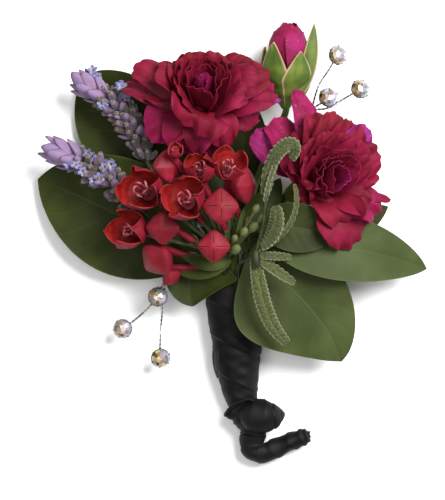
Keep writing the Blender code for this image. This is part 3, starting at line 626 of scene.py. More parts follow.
LEAVES = {
    "leaf_upper_left": dict(
        stalk=[(-5.5, 27, 3.2)], midrib=[(-11, 37, 3.0), (-25, 54, 3.8), (-36, 70, 3.6), (-46, 81.5, 0.42)],
        half_width=14.8, widest=0.55, face=(0, 0, 1), tint=0.0),
    "leaf_lower_left": dict(
        stalk=[(-6.2, 21.5, 3.8)],
        midrib=[(-11.5, 25.5, 5.0), (-26, 34, 9.0), (-42, 43, 8.8), (-60, 49.8, 3.4)],
        half_width=17.5, widest=0.5, face=(0, -0.06, 1), tint=0.12),
    "leaf_back": dict(
        stalk=[(-0.3, 23, 2.8)], midrib=[(0.0, 28, 2.2), (1.5, 45, 1.4), (3.0, 62, 1.2), (2.0, 76, 0.42)],
        half_width=8.0, widest=0.5, face=(0, 0, 1), tint=0.0),
    "leaf_right_back": dict(
        stalk=[(4.0, 22, 3.0)], midrib=[(7.5, 25.5, 2.6), (20, 29, 2.0), (33, 35, 1.6), (45.6, 41.6, 0.42)],
        half_width=7.0, widest=0.45, face=(0, 0, 1), tint=0.3),
    "leaf_lower_middle": dict(
        stalk=[(-6.6, 22, 8.6), (-8.0, 27, 9.8)],
        midrib=[(-10.2, 31.0, 11.0), (-13.2, 27, 11.6), (-16.4, 20, 12.0), (-13.3, 11.6, 11.6)],
        half_width=9.6, widest=0.54, face=(-0.02, 0, 1), tint=0.1, left=1.5, right=0.78, fold=0.42),
    "leaf_lower_right": dict(
        stalk=[(2.4, 21.0, 12.6)],
        midrib=[(2.8, 26.4, 17.4), (13, 22, 18.0), (27, 9, 16.4), (31.4, -5.0, 11.6)],
        half_width=17.0, widest=0.39, face=(0, 0, 1), tint=0.8, left=0.86, right=1.18),
    "leaf_right": dict(
        stalk=[(4.8, 25, 10.4), (6.8, 32.5, 15.0)],
        midrib=[(8.6, 35.4, 20.4), (20, 29.5, 24.6), (38, 30.5, 20.6), (57, 22.8, 9.6)],
        half_width=10.0, widest=0.48, face=(0, 0.2, 1), tint=0.9, right=1.06),
    "leaf_right_front": dict(
        stalk=[(2.2, 25, 11.6), (3.2, 32, 16.4)],
        midrib=[(5.4, 36.0, 23.4), (13, 36.5, 27.0), (22, 34.5, 25.6), (30, 33, 22.6)],
        half_width=7.4, widest=0.5, face=(0, 0, 1), tint=0.2),
}


def leaf_outline(t, widest):
    return (t / widest) ** (0.75 * widest / (1 - widest)) * ((1 - t) / (1 - widest)) ** 0.75


def blade(midrib, half_width, outline, face, stations, columns, cup, lift, left=1.0, right=1.0):
    rows = []
    for i in range(stations):
        t = i / (stations - 1)
        ahead = slope(midrib, t)
        side = ahead.cross(face).normalized()
        up = side.cross(ahead)
        width = max(half_width * outline(t), 0.12)
        row = []
        for j in range(columns):
            v = 2 * j / (columns - 1) - 1
            share = right if v > 0 else left
            row.append(bezier(midrib, t) + side * (width * v * share)
                       + up * (cup * width * v * v + lift(t, v, width)))
        rows.append(row)
    return rows


def salal(name, leaf, seed):
    dice = random.Random(seed)
    phase, waves = dice.uniform(0, TURN), dice.uniform(0.9, 1.5)
    midrib = vectors(leaf["midrib"])

    def lift(t, v, width):
        ripple = 0.16 * math.cos(TURN * 8 * (t - 0.22 * abs(v))) * abs(v) * (1 - v * v) * min(1, width / 6)
        groove = -0.3 * math.exp(-(v * width / 0.8) ** 2) * min(1, width / 4)
        edge = 0.03 * width * math.sin(TURN * waves * t + phase + (1.2 if v > 0 else 0)) * abs(v) ** 3
        fold = leaf.get("fold", 0.0) * width * max(-v, 0.0) ** 2
        return ripple + groove + edge + fold

    rows = blade(midrib, leaf["half_width"], lambda t: leaf_outline(t, leaf["widest"]), Vector(leaf["face"]),
                 36, 17, 0.08, lift, leaf.get("left", 1.0), leaf.get("right", 1.0))
    flat = thickened(smoother(painted(sheet(rows, leaf["tint"]), SALAL)), 0.32)
    into = bezier(midrib, 0.05)
    stalk = stem(name, [*leaf["stalk"], midrib[0], into])
    thickness = [0.5 - 0.03 * k for k in range(15)]
    rib = rod([bezier(midrib, 0.03 + 0.9 * k / 14) - Vector((0, 0, 0.34 + 0.75 * thickness[k])) for k in range(15)],
              thickness, 6)
    woody = welded(painted(joined("stalk", [stalk, rib]), STALK))
    dressed("salal_" + name + "_blade", [flat, woody], ["salal_" + name])


for number, (leaf_name, leaf_facts) in enumerate(LEAVES.items()):
    salal(leaf_name, leaf_facts, 20 + number)


# Carnations. A petal is its tip, half width, how far it bows along the bloom's axis, and its colour from
# crimson (0) by magenta (1) to violet (1.5), with a direction across its margin where it is turned. The
# magenta and violet are partly the petals' own colour and partly painted sheen where light grazes them

CARNATIONS = {
    "carnation_left": dict(
        mouth=(-10.5, 69.5, 15.5), look=(0.03, 0.6, 0.8), seed=3, stem=[(-3.0, 30, 6.4)],
        petals=[
            ((-26.4, 62.8, 20.0), 7.2, 6.5, 0.8, (0.56, -0.83, -0.1)), ((-16.0, 56.8, 19.5), 8.5, 10.0, 0.6),
            ((-12.6, 63.6, 28.0), 10.2, 11.0, 0.1, (0.86, -0.46, -0.2)), ((-4.0, 59.6, 23.0), 6.0, 13.0, 0.15, (1, 0, 0)),
            ((-8.6, 56.4, 18.0), 7.5, 9.0, 0.2), ((-22.0, 61.0, 17.5), 6.0, 7.0, 0.2),
            ((5.4, 66.9, 19.0), 8.0, 7.0, 0.4), ((10.8, 74.4, 21.5), 8.5, 8.0, 0.35),
            ((12.6, 73.4, 17.0), 3.4, 5.0, 1.5), ((8.8, 81.4, 20.0), 7.8, 6.0, 0.05),
            ((3.0, 86.0, 19.5), 4.8, 5.0, 0.0), ((-3.3, 85.8, 24.0), 5.6, 5.0, 0.0),
            ((-8.7, 87.3, 24.5), 6.5, 5.0, 0.05), ((-14.7, 86.8, 24.5), 6.5, 5.0, 0.0),
            ((-19.2, 84.8, 23.5), 5.6, 5.0, 0.0), ((-31.0, 82.8, 18.5), 5.4, 4.0, 0.1),
            ((-33.8, 77.6, 17.0), 6.0, 4.0, 0.2), ((-23.1, 84.4, 21.0), 3.0, 3.0, 0.05),
            ((-28.0, 76.0, 19.0), 6.5, 5.0, 0.0), ((-24.4, 80.6, 26.5), 4.2, 4.5, 0.15),
            ((6.0, 77.6, 24.5), 7.5, 7.0, 0.3), ((2.4, 73.6, 27.0), 8.0, 8.0, 0.2),
            ((-18.4, 77.0, 29.4), 7.4, 4.0, 0.05), ((-12.4, 76.6, 31.2), 6.4, 3.0, 0.0),
            ((-4.0, 78.8, 30.6), 6.6, 3.0, 0.15), ((0.8, 81.6, 27.6), 5.4, 4.0, 0.25),
            ((-16.8, 83.4, 28.0), 5.2, 3.0, 0.05), ((-12.2, 85.2, 28.0), 5.6, 3.5, 0.0),
            ((-6.9, 85.2, 28.0), 5.6, 3.5, 0.05), ((-2.7, 83.4, 27.5), 5.2, 3.0, 0.0),
            ((-14.2, 82.2, 30.2), 4.4, 2.0, 0.1), ((-10.2, 83.4, 30.6), 4.4, 2.0, 0.2),
            ((-6.4, 82.4, 30.2), 4.4, 2.0, 0.1), ((-9.9, 81.0, 31.2), 2.8, 1.5, 1.1),
            ((-11.6, 80.0, 31.6), 2.6, 1.5, 0.6), ((-8.2, 79.8, 31.4), 2.6, 1.5, 0.8),
        ]),
    "carnation_right": dict(
        mouth=(22.5, 47.5, 19.5), look=(0.5, 0.2, 0.84), seed=8, stem=[(3.6, 29, 6.6)],
        petals=[
            ((17.7, 76.2, 19.0), 4.4, 5.0, 0.9), ((5.0, 63.0, 20.5), 6.8, 3.0, 1.15),
            ((10.0, 66.8, 19.0), 6.8, 3.0, 0.85), ((33.4, 30.0, 20.0), 9.4, 8.0, 0.3),
            ((41.6, 38.8, 19.0), 5.8, 7.0, 0.85), ((31.6, 36.6, 25.5), 7.4, 7.0, 0.1, (1.0, 0.16, -0.1)),
            ((39.0, 40.6, 23.5), 5.4, 6.0, 0.3), ((45.7, 43.3, 20.0), 1.7, 3.0, 0.4),
            ((22.0, 69.0, 23.0), 5.8, 5.0, 0.1), ((28.8, 69.2, 24.0), 6.2, 5.0, 0.0),
            ((34.8, 66.8, 24.0), 6.0, 5.0, 0.1), ((39.0, 65.4, 22.0), 4.6, 4.0, 1.4),
            ((42.4, 57.9, 21.5), 5.8, 4.5, 0.3), ((42.0, 52.8, 20.5), 5.4, 4.5, 0.25),
            ((38.4, 48.4, 22.5), 5.2, 4.5, 0.3), ((17.6, 64.2, 24.5), 5.4, 5.0, 0.25),
            ((13.6, 56.0, 24.5), 5.4, 4.0, 0.3), ((18.6, 49.4, 28.0), 7.2, 5.0, 0.1, (0.78, -0.58, 0.1)),
            ((16.8, 46.2, 22.0), 5.4, 4.0, 0.05), ((24.0, 43.0, 25.0), 5.0, 5.0, 0.1),
            ((37.5, 60.9, 27.5), 5.6, 4.0, 0.2), ((39.4, 55.9, 26.5), 5.2, 4.0, 0.2),
            ((32.4, 62.9, 28.5), 5.8, 4.0, 0.05), ((26.8, 63.6, 29.5), 5.8, 4.0, 0.1),
            ((21.4, 60.8, 29.5), 5.8, 4.0, 0.15), ((20.2, 55.4, 30.6), 5.6, 3.5, 0.2),
            ((24.0, 58.2, 32.4), 5.6, 2.5, 0.15), ((25.6, 53.1, 34.0), 5.8, 2.5, 0.2),
            ((25.2, 48.6, 32.8), 5.2, 3.0, 0.15), ((30.4, 46.6, 30.4), 4.6, 3.5, 0.2),
            ((28.5, 56.1, 34.4), 4.4, 2.0, 0.3), ((28.9, 51.4, 34.8), 4.4, 2.0, 0.35),
            ((32.6, 58.3, 32.0), 5.0, 3.0, 0.1), ((35.6, 55.2, 31.0), 4.8, 3.0, 0.15),
            ((36.2, 51.4, 30.6), 4.6, 3.0, 0.4), ((33.2, 49.2, 32.0), 3.8, 2.0, 0.9),
            ((31.2, 53.7, 34.6), 2.8, 1.5, 0.3), ((32.8, 52.2, 34.2), 2.6, 1.5, 0.6),
            ((30.4, 55.0, 34.0), 2.6, 1.5, 0.9),
        ]),
}


def petal(mouth, axis, facts, dice, stations=13, columns=21):
    """A petal with a narrow claw, a waved fan and a toothed margin."""
    tip, half_width, bow, colour, *turned = facts
    root = mouth - axis * 1.5
    chord = Vector(tip) - root
    out = (chord - axis * chord.dot(axis)).normalized()
    side = Vector(turned[0]).normalized() if turned else axis.cross(out)
    root = root + out * 0.8
    midline = [root, root + chord * 0.3 + axis * (bow * 0.8), root + chord * 0.75 + axis * bow, Vector(tip)]
    big, small, fine = (dice.uniform(0, TURN) for _ in range(3))
    waves, crinkles = dice.uniform(0.8, 1.5), dice.uniform(2.8, 4.4)
    arch, claw = dice.uniform(0.10, 0.30), 0.55 if turned else 0.14
    teeth = [dice.uniform(0.0, 1.0) * (1.0 if j % 2 else 0.2) for j in range(columns)]
    rows = []
    for i in range(stations):
        t = i / (stations - 1)
        fan = claw + (1 - claw) * smooth_step((t - 0.08) / 0.62) * (1 - 0.10 * smooth_step((t - 0.8) / 0.2))
        width = half_width * fan
        row = []
        for j in range(columns):
            v = 2 * j / (columns - 1) - 1
            along = t * (1 - 0.26 * abs(v) ** 2.6)
            ahead = slope(midline, along)
            face = side.cross(ahead).normalized()
            lift = width * (arch * v * v * t
                            + 0.13 * t * math.sin(waves * math.pi * v + big)
                            + 0.085 * t ** 4 * math.sin(crinkles * math.pi * v + small)
                            + 0.045 * t ** 8 * math.sin(8 * math.pi * v + fine))
            tooth = teeth[j] * 0.8 * smooth_step((t - 0.88) / 0.12) * (1 - 0.6 * abs(v))
            row.append(bezier(midline, along) + side * (width * v) - face * lift + ahead * tooth)
        rows.append(row)
    return sheet(rows, colour + dice.uniform(-0.05, 0.1))


def carnation(name, bloom):
    axis = Vector(bloom["look"]).normalized()
    mouth = Vector(bloom["mouth"])
    dice = random.Random(bloom["seed"])
    petals = joined("petals", [petal(mouth, axis, facts, dice) for facts in bloom["petals"]])
    petals = thickened(smoother(painted(petals, PETAL)), 0.18)
    core = body([mouth + axis * h for h in (-3.0, 0.5, 4.0, 7.0)],
                lambda i, angle: (1.8, 3.4, 3.0, 1.2)[i], 16, 0.0)
    core = welded(painted(core, PETAL))
    dressed(name + "_petals", [petals, core], [name + "_bloom"], 80)

    base = mouth - axis * 13.0
    heights = [-0.6, 0.4, 1.6, 4.0, 7.0, 10.0, 11.6, 11.8, 10.4, 8.0]
    radii = [1.2, 2.2, 2.8, 3.35, 3.9, 4.25, 4.3, 3.9, 3.5, 2.6]

    def section(i, angle):
        tooth = 1.0 if i in (6, 7) else 0.0
        return radii[i] * (1 + 0.02 * math.cos(10 * angle) + 0.05 * tooth * math.cos(5 * angle))

    cup = body([base + axis * h for h in heights], section, 40, 0.0)
    stalk = stem(name, [*bloom["stem"], base - axis * 3.0, base + axis * 1.0])
    green = welded(painted(joined("green", [cup, stalk]), SEPAL))
    dressed(name + "_green_calyx", [green], [name + "_calyx"])


for carnation_name, carnation_facts in CARNATIONS.items():
    carnation(carnation_name, carnation_facts)


# Carnation bud

BUD_BASE = Vector((14.6, 71.5, 11.5))
BUD_TIP = Vector((15.8, 97.4, 14.0))
BUD_STEM = [(0.0, 30, 10.2), (5.5, 48, 10.6), (10.8, 61, 10.8)]
SEPALS = [(205, 17.5, 0.4), (285, 20.0, 0.0), (345, 19.0, 0.8), (62, 17.4, 0.3), (126, 19.8, 0.4)]
LONG_SEPAL = [(17.0, 74.0, 15.0), (21.6, 80.0, 17.0), (22.4, 89.0, 16.8), (23.2, 96.4, 15.6)]


def bud_frame():
    axis = (BUD_TIP - BUD_BASE).normalized()
    up = (Vector((0, 0, 1)) - axis * axis.z).normalized()
    return axis, up.cross(axis) * -1, up


def on_profile(profile, height):
    for (low, a), (high, b) in zip(profile, profile[1:]):
        if height <= high:
            return a + (b - a) * smooth_step((height - low) / (high - low))
    return profile[-1][1]


def carnation_bud():
    axis, right, up = bud_frame()
    dice = random.Random(5)
    length = (BUD_TIP - BUD_BASE).length
    profile = [(4.0, 1.4), (7.0, 3.8), (10.5, 5.6), (14.5, 6.5), (19.0, 6.3), (22.5, 4.9), (25.5, 2.4), (27.0, 1.4)]
    wraps = []
    for k in range(6):
        start = math.radians(60 * k + dice.uniform(-12, 12))
        inset = 0.94 - 0.1 * (k % 3)
        reach = length - 1.7 + 0.5 * (k % 3) - (1.6 if k % 3 == 0 else 0)
        teeth = [dice.uniform(-0.5, 0.5) for _ in range(13)]
        rows = []
        for i in range(14):
            t = i / 13
            row = []
            for j in range(13):
                v = 2 * j / 12 - 1
                height = 4.0 + (reach - 4.0) * t * (1 - 0.05 * v * v) + teeth[j] * smooth_step((t - 0.8) / 0.2)
                angle = start + math.radians(74) * v + 0.02 * height
                radius = on_profile(profile, height) * (inset + 0.06 * v) + 0.14 * math.sin(7 * v + k) * t * t
                row.append(BUD_BASE + axis * height + radius * (right * math.cos(angle) + up * math.sin(angle)))
            rows.append(row)
        wraps.append(sheet(rows, (1.0, 0.85, 1.1, 0.95, 0.8, 1.05)[k]))
    petals = thickened(smoother(painted(joined("wraps", wraps), PETAL)), 0.26)
    heart = welded(painted(body([BUD_BASE + axis * h for h in (4, 8, 14, 20, 24.5)],
                                lambda i, angle: (1.2, 3.6, 5.2, 4.4, 1.2)[i], 20, 0.2), PETAL))
    dressed("carnation_bud_wraps", [petals, heart], ["carnation_bud_petals"], 80)

    cup = [(0.0, 1.3), (1.5, 2.2), (5.0, 4.6), (9.0, 7.3), (11.0, 7.75), (15.0, 7.5), (20.0, 7.1), (28.0, 6.8)]
    blades = []
    for order, (bearing, reach, splay) in enumerate(SEPALS):
        rows = []
        for i in range(18):
            t = i / 17
            height = reach * t
            half = math.radians(43) * min(1.0, (1 - t) / 0.52) ** 0.8 * (1 - 0.15 * (1 - t) ** 2)
            row = []
            for j in range(11):
                v = 2 * j / 10 - 1
                angle = math.radians(bearing) + half * v
                radius = (on_profile(cup, height) + 0.12 * (order % 2) + splay * t * t
                          + 0.25 * v * v * smooth_step((t - 0.4) / 0.3) - 0.15 * math.exp(-(v / 0.2) ** 2))
                row.append(BUD_BASE + axis * height + radius * (right * math.cos(angle) + up * math.sin(angle)))
            rows.append(row)
        blades.append(sheet(rows, 1.0))
    sepals = thickened(smoother(painted(joined("sepals", blades), SEPAL)), 0.4)
    lining = body([BUD_BASE + axis * h for h in (-0.6, 0.5, 2.0, 5.0, 8.6, 8.0, 5.6, 3.2)],
                  lambda i, angle: (1.2, 1.7, 2.3, 4.3, 6.9, 6.2, 3.9, 2.0)[i], 30, 0.0)
    stalk = stem("bud", [*BUD_STEM, BUD_BASE - axis * 2.0, BUD_BASE + axis * 1.2])
    green = welded(painted(joined("green", [lining, stalk]), SEPAL))
    bract = []
    for i in range(10):
        t = i / 9
        centre = bezier(vectors([(15.6, 73.6, 14.4), (19.8, 76.4, 16.4), (22.4, 81.6, 13.4)]), t)
        half = 2.6 * math.sin(math.pi * (0.15 + 0.85 * t)) ** 0.8 * (1 - 0.2 * t)
        bract.append([centre + Vector((0.7, -0.55, 0.35 * abs(v))) * (half * v) for v in (-1, -0.5, 0, 0.5, 1)])
    long_one = blade(vectors(LONG_SEPAL), 2.5, lambda t: math.sin(math.pi * (0.12 + 0.88 * t)) ** 0.8,
                     Vector((0.35, 0.1, 1)), 18, 9, 0.25, lambda t, v, width: 0.0)
    small = joined("bracts", [sheet(bract, 0.5), sheet(long_one, 1.0)])
    small = thickened(smoother(painted(small, SEPAL)), 0.35)
    dressed("carnation_bud_sepals", [sepals, green, small], ["carnation_bud_calyx"], 80)


carnation_bud()


# Lavender

LAVENDER = {
    "lavender_upper": dict(
        axis=[(-27.2, 55, 12), (-30.4, 64, 12), (-35.5, 71, 12.2), (-42, 76, 12.4), (-51.5, 80.5, 12)],
        stem=[(-5.6, 24, 6.2), (-13.0, 36, 8.6), (-22.0, 46.5, 11.6)],
        florets=[(-35.6, 78.2, 16.6), (-40.4, 72.6, 16.0), (-42.2, 81.6, 15.2), (-33.4, 74.6, 17.0)]),
    "lavender_lower": dict(
        axis=[(-28, 40.5, 13.5), (-34.5, 46.5, 14.5), (-41.5, 52, 15), (-50, 56.4, 15), (-60.5, 58.4, 14.5)],
        stem=[(-8.2, 23, 6.8), (-14.5, 29, 9.4), (-21.0, 34.5, 12.0)],
        florets=[(-50.8, 54.4, 18.4), (-43.4, 57.0, 18.4), (-38.4, 53.6, 18.6), (-41.8, 49.2, 18.2),
                 (-47.6, 53.2, 19.0)]),
}


def calyx_model():
    """One ribbed lavender calyx along +Z, open at its toothed mouth."""
    heights = [0.0, 0.5, 1.5, 2.8, 3.9, 4.6, 5.2, 4.5, 3.2]
    radii = [0.35, 0.72, 1.05, 1.16, 1.0, 0.74, 0.5, 0.3, 0.2]
    path = [Vector((0, 0, h)) for h in heights]

    def section(i, angle):
        return radii[i] * (1 + 0.13 * math.cos(5 * angle) * (i > 0))

    made = welded(painted(body(path, section, 10, 0.0), CALYX))
    made.name = "calyx"
    return made


def floret_model():
    """One floret facing +Z, its round lobes about a pale throat."""
    rows, tints = [], []
    for i, (radius, height) in enumerate([(0.25, -2.2), (0.35, -0.6), (0.5, 0.0), (1.1, 0.35), (1.75, 0.3)]):
        row = []
        for k in range(41):
            angle = TURN * k / 40
            lobe = 0.62 + 0.46 * abs(math.cos(2.5 * angle)) ** 0.6 if i > 2 else 1.0
            row.append(Vector((radius * lobe * math.cos(angle), radius * lobe * math.sin(angle),
                               height + (0.3 * math.cos(5 * angle + 1) if i > 3 else 0))))
        rows.append(row)
        tints.append([(1.0, 1.0, 0.9, 0.45, 0.0)[i]] * 41)
    made = thickened(welded(painted(sheet(rows, np.array(tints)), FLORET)), 0.16)
    made.name = "floret"
    return made


def bract_model():
    """One oval bract, its base at the origin, reaching 1 along +Z and cupped towards +Y."""
    rows = []
    for i in range(10):
        t = i / 9
        half = 0.27 * math.sin(math.pi * min(0.12 + 0.85 * t, 1)) ** 0.75
        row = []
        for j in range(7):
            v = 2 * j / 6 - 1
            row.append(Vector((half * v, 0.16 * math.sin(math.pi * t * 0.9) - 0.20 * v * v * half / 0.27
                               + 0.015 * math.sin(9 * v + 7 * t), t * (1 - 0.05 * v * v))))
        rows.append(row)
    made = thickened(smoother(painted(sheet(rows, 0.0), BRACT)), 0.045)
    made.name = "bract"
    return made


def lavender(name, facts, calyx, floret, bract, seed):
    dice = random.Random(seed)
    axis = through(facts["axis"], 8)
    side, _ = across((axis[1] - axis[0]).normalized())
    parts = []
    for w in range(9):
        centre, ahead = partway(axis, 0.02 + 0.64 * w / 8)
        side = (side - ahead * side.dot(ahead)).normalized()
        up = ahead.cross(side)
        count = 6 if w in (0, 8) else 8
        size = (0.78, 0.9, 1, 1, 1, 1, 1, 0.95, 0.85)[w]
        for k in range(count):
            angle = TURN * (k + 0.5 * (w % 2)) / count + dice.uniform(-0.2, 0.2)
            out = side * math.cos(angle) + up * math.sin(angle)
            lean = dice.uniform(0.6, 1.15)
            aim = (ahead * math.cos(lean) + out * math.sin(lean)).normalized()
            start = centre + out * 0.9 + ahead * dice.uniform(-0.5, 0.5)
            parts.append(copied(calyx, standing(start, aim, size * dice.uniform(0.85, 1.05), dice.uniform(0, 6)),
                                dice.uniform(0, 1) ** 2 * (0.3 + 0.7 * w / 8)))
    for place in facts["florets"]:
        for _ in range(2):
            aim = Vector((dice.uniform(-0.5, 0.2), dice.uniform(-0.2, 0.5), 1)).normalized()
            spot = Vector(place) + Vector((dice.uniform(-1.4, 1.4), dice.uniform(-1.2, 1.2), dice.uniform(-0.6, 0.2)))
            made = bpy.data.objects.new("floret", floret.data.copy())
            matrix = standing(spot, aim, dice.uniform(0.72, 0.95), dice.uniform(0, 6))
            matrix.translation = matrix.translation * MM
            made.data.transform(matrix)
            bpy.context.scene.collection.objects.link(made)
            parts.append(made)
    for k in range(11):
        centre, ahead = partway(axis, dice.uniform(0.16, 0.7))
        side, up = across(ahead)
        angle = dice.uniform(0, TURN)
        out = side * math.cos(angle) + up * math.sin(angle)
        aim = (ahead * 0.55 + out * 0.8).normalized()
        parts.append(copied(bract, facing(centre + out * 1.4, aim, out, dice.uniform(4.0, 5.4))))
    stalk = welded(painted(rod(
        stem_path(name, [*facts["stem"], axis[0], *axis[4:24:4]]), 0.72, 8, 0.0), STALK))
    parts.append(stalk)
    dressed(name + "_flowers", parts, [name + "_spike"], 50)

    root, ahead = partway(axis, 0.70)
    tip = axis[-1]
    length = (tip - root).length
    side, up = across(ahead)
    tuft = []
    for ring, (count, back, lean, reach) in enumerate([(4, 0.02, 0.10, 0.92), (5, 0.04, 0.30, 0.74),
                                                       (4, -0.14, 0.46, 0.62)]):
        for k in range(count):
            angle = TURN * (k + 0.35 * ring) / count + dice.uniform(-0.2, 0.2)
            out = side * math.cos(angle) + up * math.sin(angle)
            aim = (ahead * math.cos(lean) + out * math.sin(lean)).normalized()
            size = length * reach * dice.uniform(0.86, 1.0)
            tuft.append(copied(bract, facing(root + ahead * (back * length) + out * 1.1, aim, out, size)))
    dressed(name + "_tuft", tuft, [name + "_bracts"], 80)


calyx_part, floret_part, bract_part = calyx_model(), floret_model(), bract_model()
for number, (lavender_name, lavender_facts) in enumerate(LAVENDER.items()):
    lavender(lavender_name, lavender_facts, calyx_part, floret_part, bract_part, 40 + number)
for part in (calyx_part, floret_part, bract_part):
    bpy.data.objects.remove(part)


# Bouvardia

BOUVARDIA_HUB = Vector((-2.6, 27.0, 18.6))
BOUVARDIA_FLOWERS = [  # head, size, how far it has opened, and where it looks
    ((-28.3, 46.6, 26.0), 7.2, "open", (-0.40, 0.25, 0.9)),
    ((-20.6, 53.4, 27.2), 5.2, "shut", (0.55, 0.05, 0.8)),
    ((-15.4, 43.8, 33.0), 6.9, "open", (-0.20, 0.25, 0.95)),
    ((-4.9, 41.4, 34.0), 5.6, "shut", (0.08, 0.14, 1.0)),
    ((-11.0, 53.0, 31.6), 5.4, "opening", (0.00, 0.45, 0.9)),
    ((-2.4, 53.6, 29.6), 5.6, "open", (0.10, 0.50, 0.85)),
    ((2.4, 47.8, 29.0), 5.6, "shut", (0.85, 0.02, 0.52)),
    ((-31.9, 34.4, 21.6), 6.4, "open", (-0.65, 0.05, 0.75)),
    ((-22.2, 35.2, 26.4), 5.3, "shut", (-0.15, -0.2, 0.95)),
    ((-24.0, 25.6, 21.6), 5.7, "shut", (-0.50, -0.45, 0.7)),
    ((-6.9, 29.6, 30.0), 5.1, "shut", (-0.10, -0.05, 1.0)),
    ((-19.6, 20.2, 18.4), 3.2, "shut", (0.45, -0.60, 0.65)),
    ((-18.4, 58.2, 31.5), 2.9, "opening", (0.10, 0.70, 0.7)),
]
GREEN_BUDS = [((6.4, 42.0, 31.0), 1.2), ((6.0, 36.6, 27.5), 1.4), ((2.8, 35.0, 28.0), 1.3), ((0.4, 29.4, 25.5), 1.6),
              ((8.0, 39.0, 29.0), 1.0), ((-0.4, 32.8, 27.4), 1.1), ((4.0, 38.4, 27.0), 1.0)]


def bouvardia_axis(head):
    return ((head - BOUVARDIA_HUB).normalized() + Vector((0, 0, 0.25))).normalized()


def open_petals(neck, axis, size, gape, dice):
    """Four pointed petals round an open heart: pink outside, orange-red within."""
    side, up = across(axis)
    twist = dice.uniform(0, TURN / 4)
    profile = [(-0.1, 0.26), (0.15, 0.50), (0.45, 0.80), (0.8, 0.93), (1.15, 0.92), (1.6, 0.80)]
    blades = []
    for k in range(4):
        reach, lean = dice.uniform(1.35, 1.75), gape + dice.uniform(-0.26, 0.10)
        curl = dice.uniform(-0.12, 0.16)
        rows = []
        for i in range(14):
            t = i / 13
            half = math.radians(51) * (min(1.0, (1 - t) / 0.66) ** 0.8)
            row = []
            for j in range(11):
                v = 2 * j / 10 - 1
                height = -0.1 + (reach + 0.1) * t
                angle = TURN * k / 4 + twist + half * v
                radius = on_profile(profile, height) + lean * t * t + 0.05 * (k % 2)
                radius += curl * v * t + 0.05 * v * v * t - 0.05 * math.exp(-(v / 0.25) ** 2) * t
                row.append(neck + size * (axis * height + radius * (side * math.cos(angle) + up * math.sin(angle))))
            rows.append(row)
        blades.append(sheet(rows))
    petals = thickened(smoother(painted(joined("blades", blades), BOUVARDIA)), 0.32)
    heart = neck + axis * (size * 0.9)
    inside = []
    for vertex in petals.data.vertices:
        spot = vertex.co / MM - heart
        inside.append(1.0 if vertex.normal.dot(spot - axis * spot.dot(axis)) < 0 else 0.0)
    petals.data.attributes["tint"].data.foreach_set("value", inside)
    stamens = []
    for k in range(5):
        angle = TURN * k / 5 + 0.4
        out = side * math.cos(angle) + up * math.sin(angle)
        sideways = axis.cross(out)
        foot = neck + axis * (0.1 * size) + out * (0.12 * size)
        top = neck + axis * (size * dice.uniform(0.75, 0.95)) + out * (size * dice.uniform(0.18, 0.34))
        curled = [foot, foot.lerp(top, 0.5), top, top + (axis * 0.10 + sideways * 0.16) * size,
                  top + (sideways * 0.30 - out * 0.08) * size]
        stamens.append(rod(through(curled, 3), spread([0.26, 0.3, 0.05 * size, 0.055 * size, 0.02 * size], 3), 7))
    return [petals, welded(painted(joined("stamens", stamens), HEART))]


def shut_petals(neck, axis, size, parting):
    """Four petals still folded to a point, grooved where they meet, with painted shade along the grooves in a dark
    cross.
    """
    heights = [0.0, 0.22, 0.5, 0.76, 0.94, 1.04, 1.16, 1.26, 1.32]
    radii = [0.34, 0.66, 0.90, 1.04, 1.10, 1.04, 0.72, 0.36, 0.08]
    squareness = [2.0, 1.9, 1.6, 1.35, 1.2, 1.15, 1.15, 1.2, 2.0]  # 2 is round, 1 is square
    grooves = [0.0, 0.0, 0.0, 0.02, 0.05, 0.09, 0.13, 0.13, 0.03]
    sides = 64

    def seam(i, angle):
        return math.exp(-(math.remainder(angle, TURN / 4) * max(radii[i], 0.3) / 0.075) ** 2)

    def section(i, angle):
        power = squareness[i]
        corner = (abs(math.cos(angle)) ** power + abs(math.sin(angle)) ** power) ** (-1 / power)
        return 0.94 * size * (radii[i] * corner - parting * grooves[i] * seam(i, angle))

    # The tint carries the painted shade: along each groove, and over the tip
    shade = [[0.0] * (sides + 1)]
    for i, depth in enumerate(grooves):
        shade.append([2.0 * min(1.0, 9 * depth) * parting * seam(i, TURN * k / sides) for k in range(sides + 1)])
    shade.append([2.0 * parting] * (sides + 1))
    made = body([neck + axis * (size * h) for h in heights], section, sides, np.array(shade), panels=4)
    return welded(smoother(painted(made, BOUVARDIA)))


def bouvardia_flower(index):
    place, size, state, look = BOUVARDIA_FLOWERS[index]
    dice = random.Random(60 + index)
    head, axis = Vector(place), Vector(look).normalized()
    grown = bouvardia_axis(head)
    foot = head - grown * min(12.0, 0.55 * (head - BOUVARDIA_HUB).length)
    neck = head - axis * (size * (0.85 if state == "shut" else 0.7))
    if state == "shut":
        parts = [shut_petals(neck, axis, size, 1.0 if index in (3, 10) else 0.45)]
    else:
        parts = open_petals(neck, axis, size, {"open": -0.02, "opening": -0.40}[state], dice)
    path = through([foot, foot + grown * 1.2, neck - axis * 1.6, neck + axis * (0.1 * size)], 4)
    parts.append(welded(painted(rod(path, spread([0.95, 1.0, 1.15, 0.32 * size], 4), 14), BOUVARDIA)))
    name = f"bouvardia_flower_{index + 1:02d}"
    dressed(name + "_petals", parts, [name], 70)


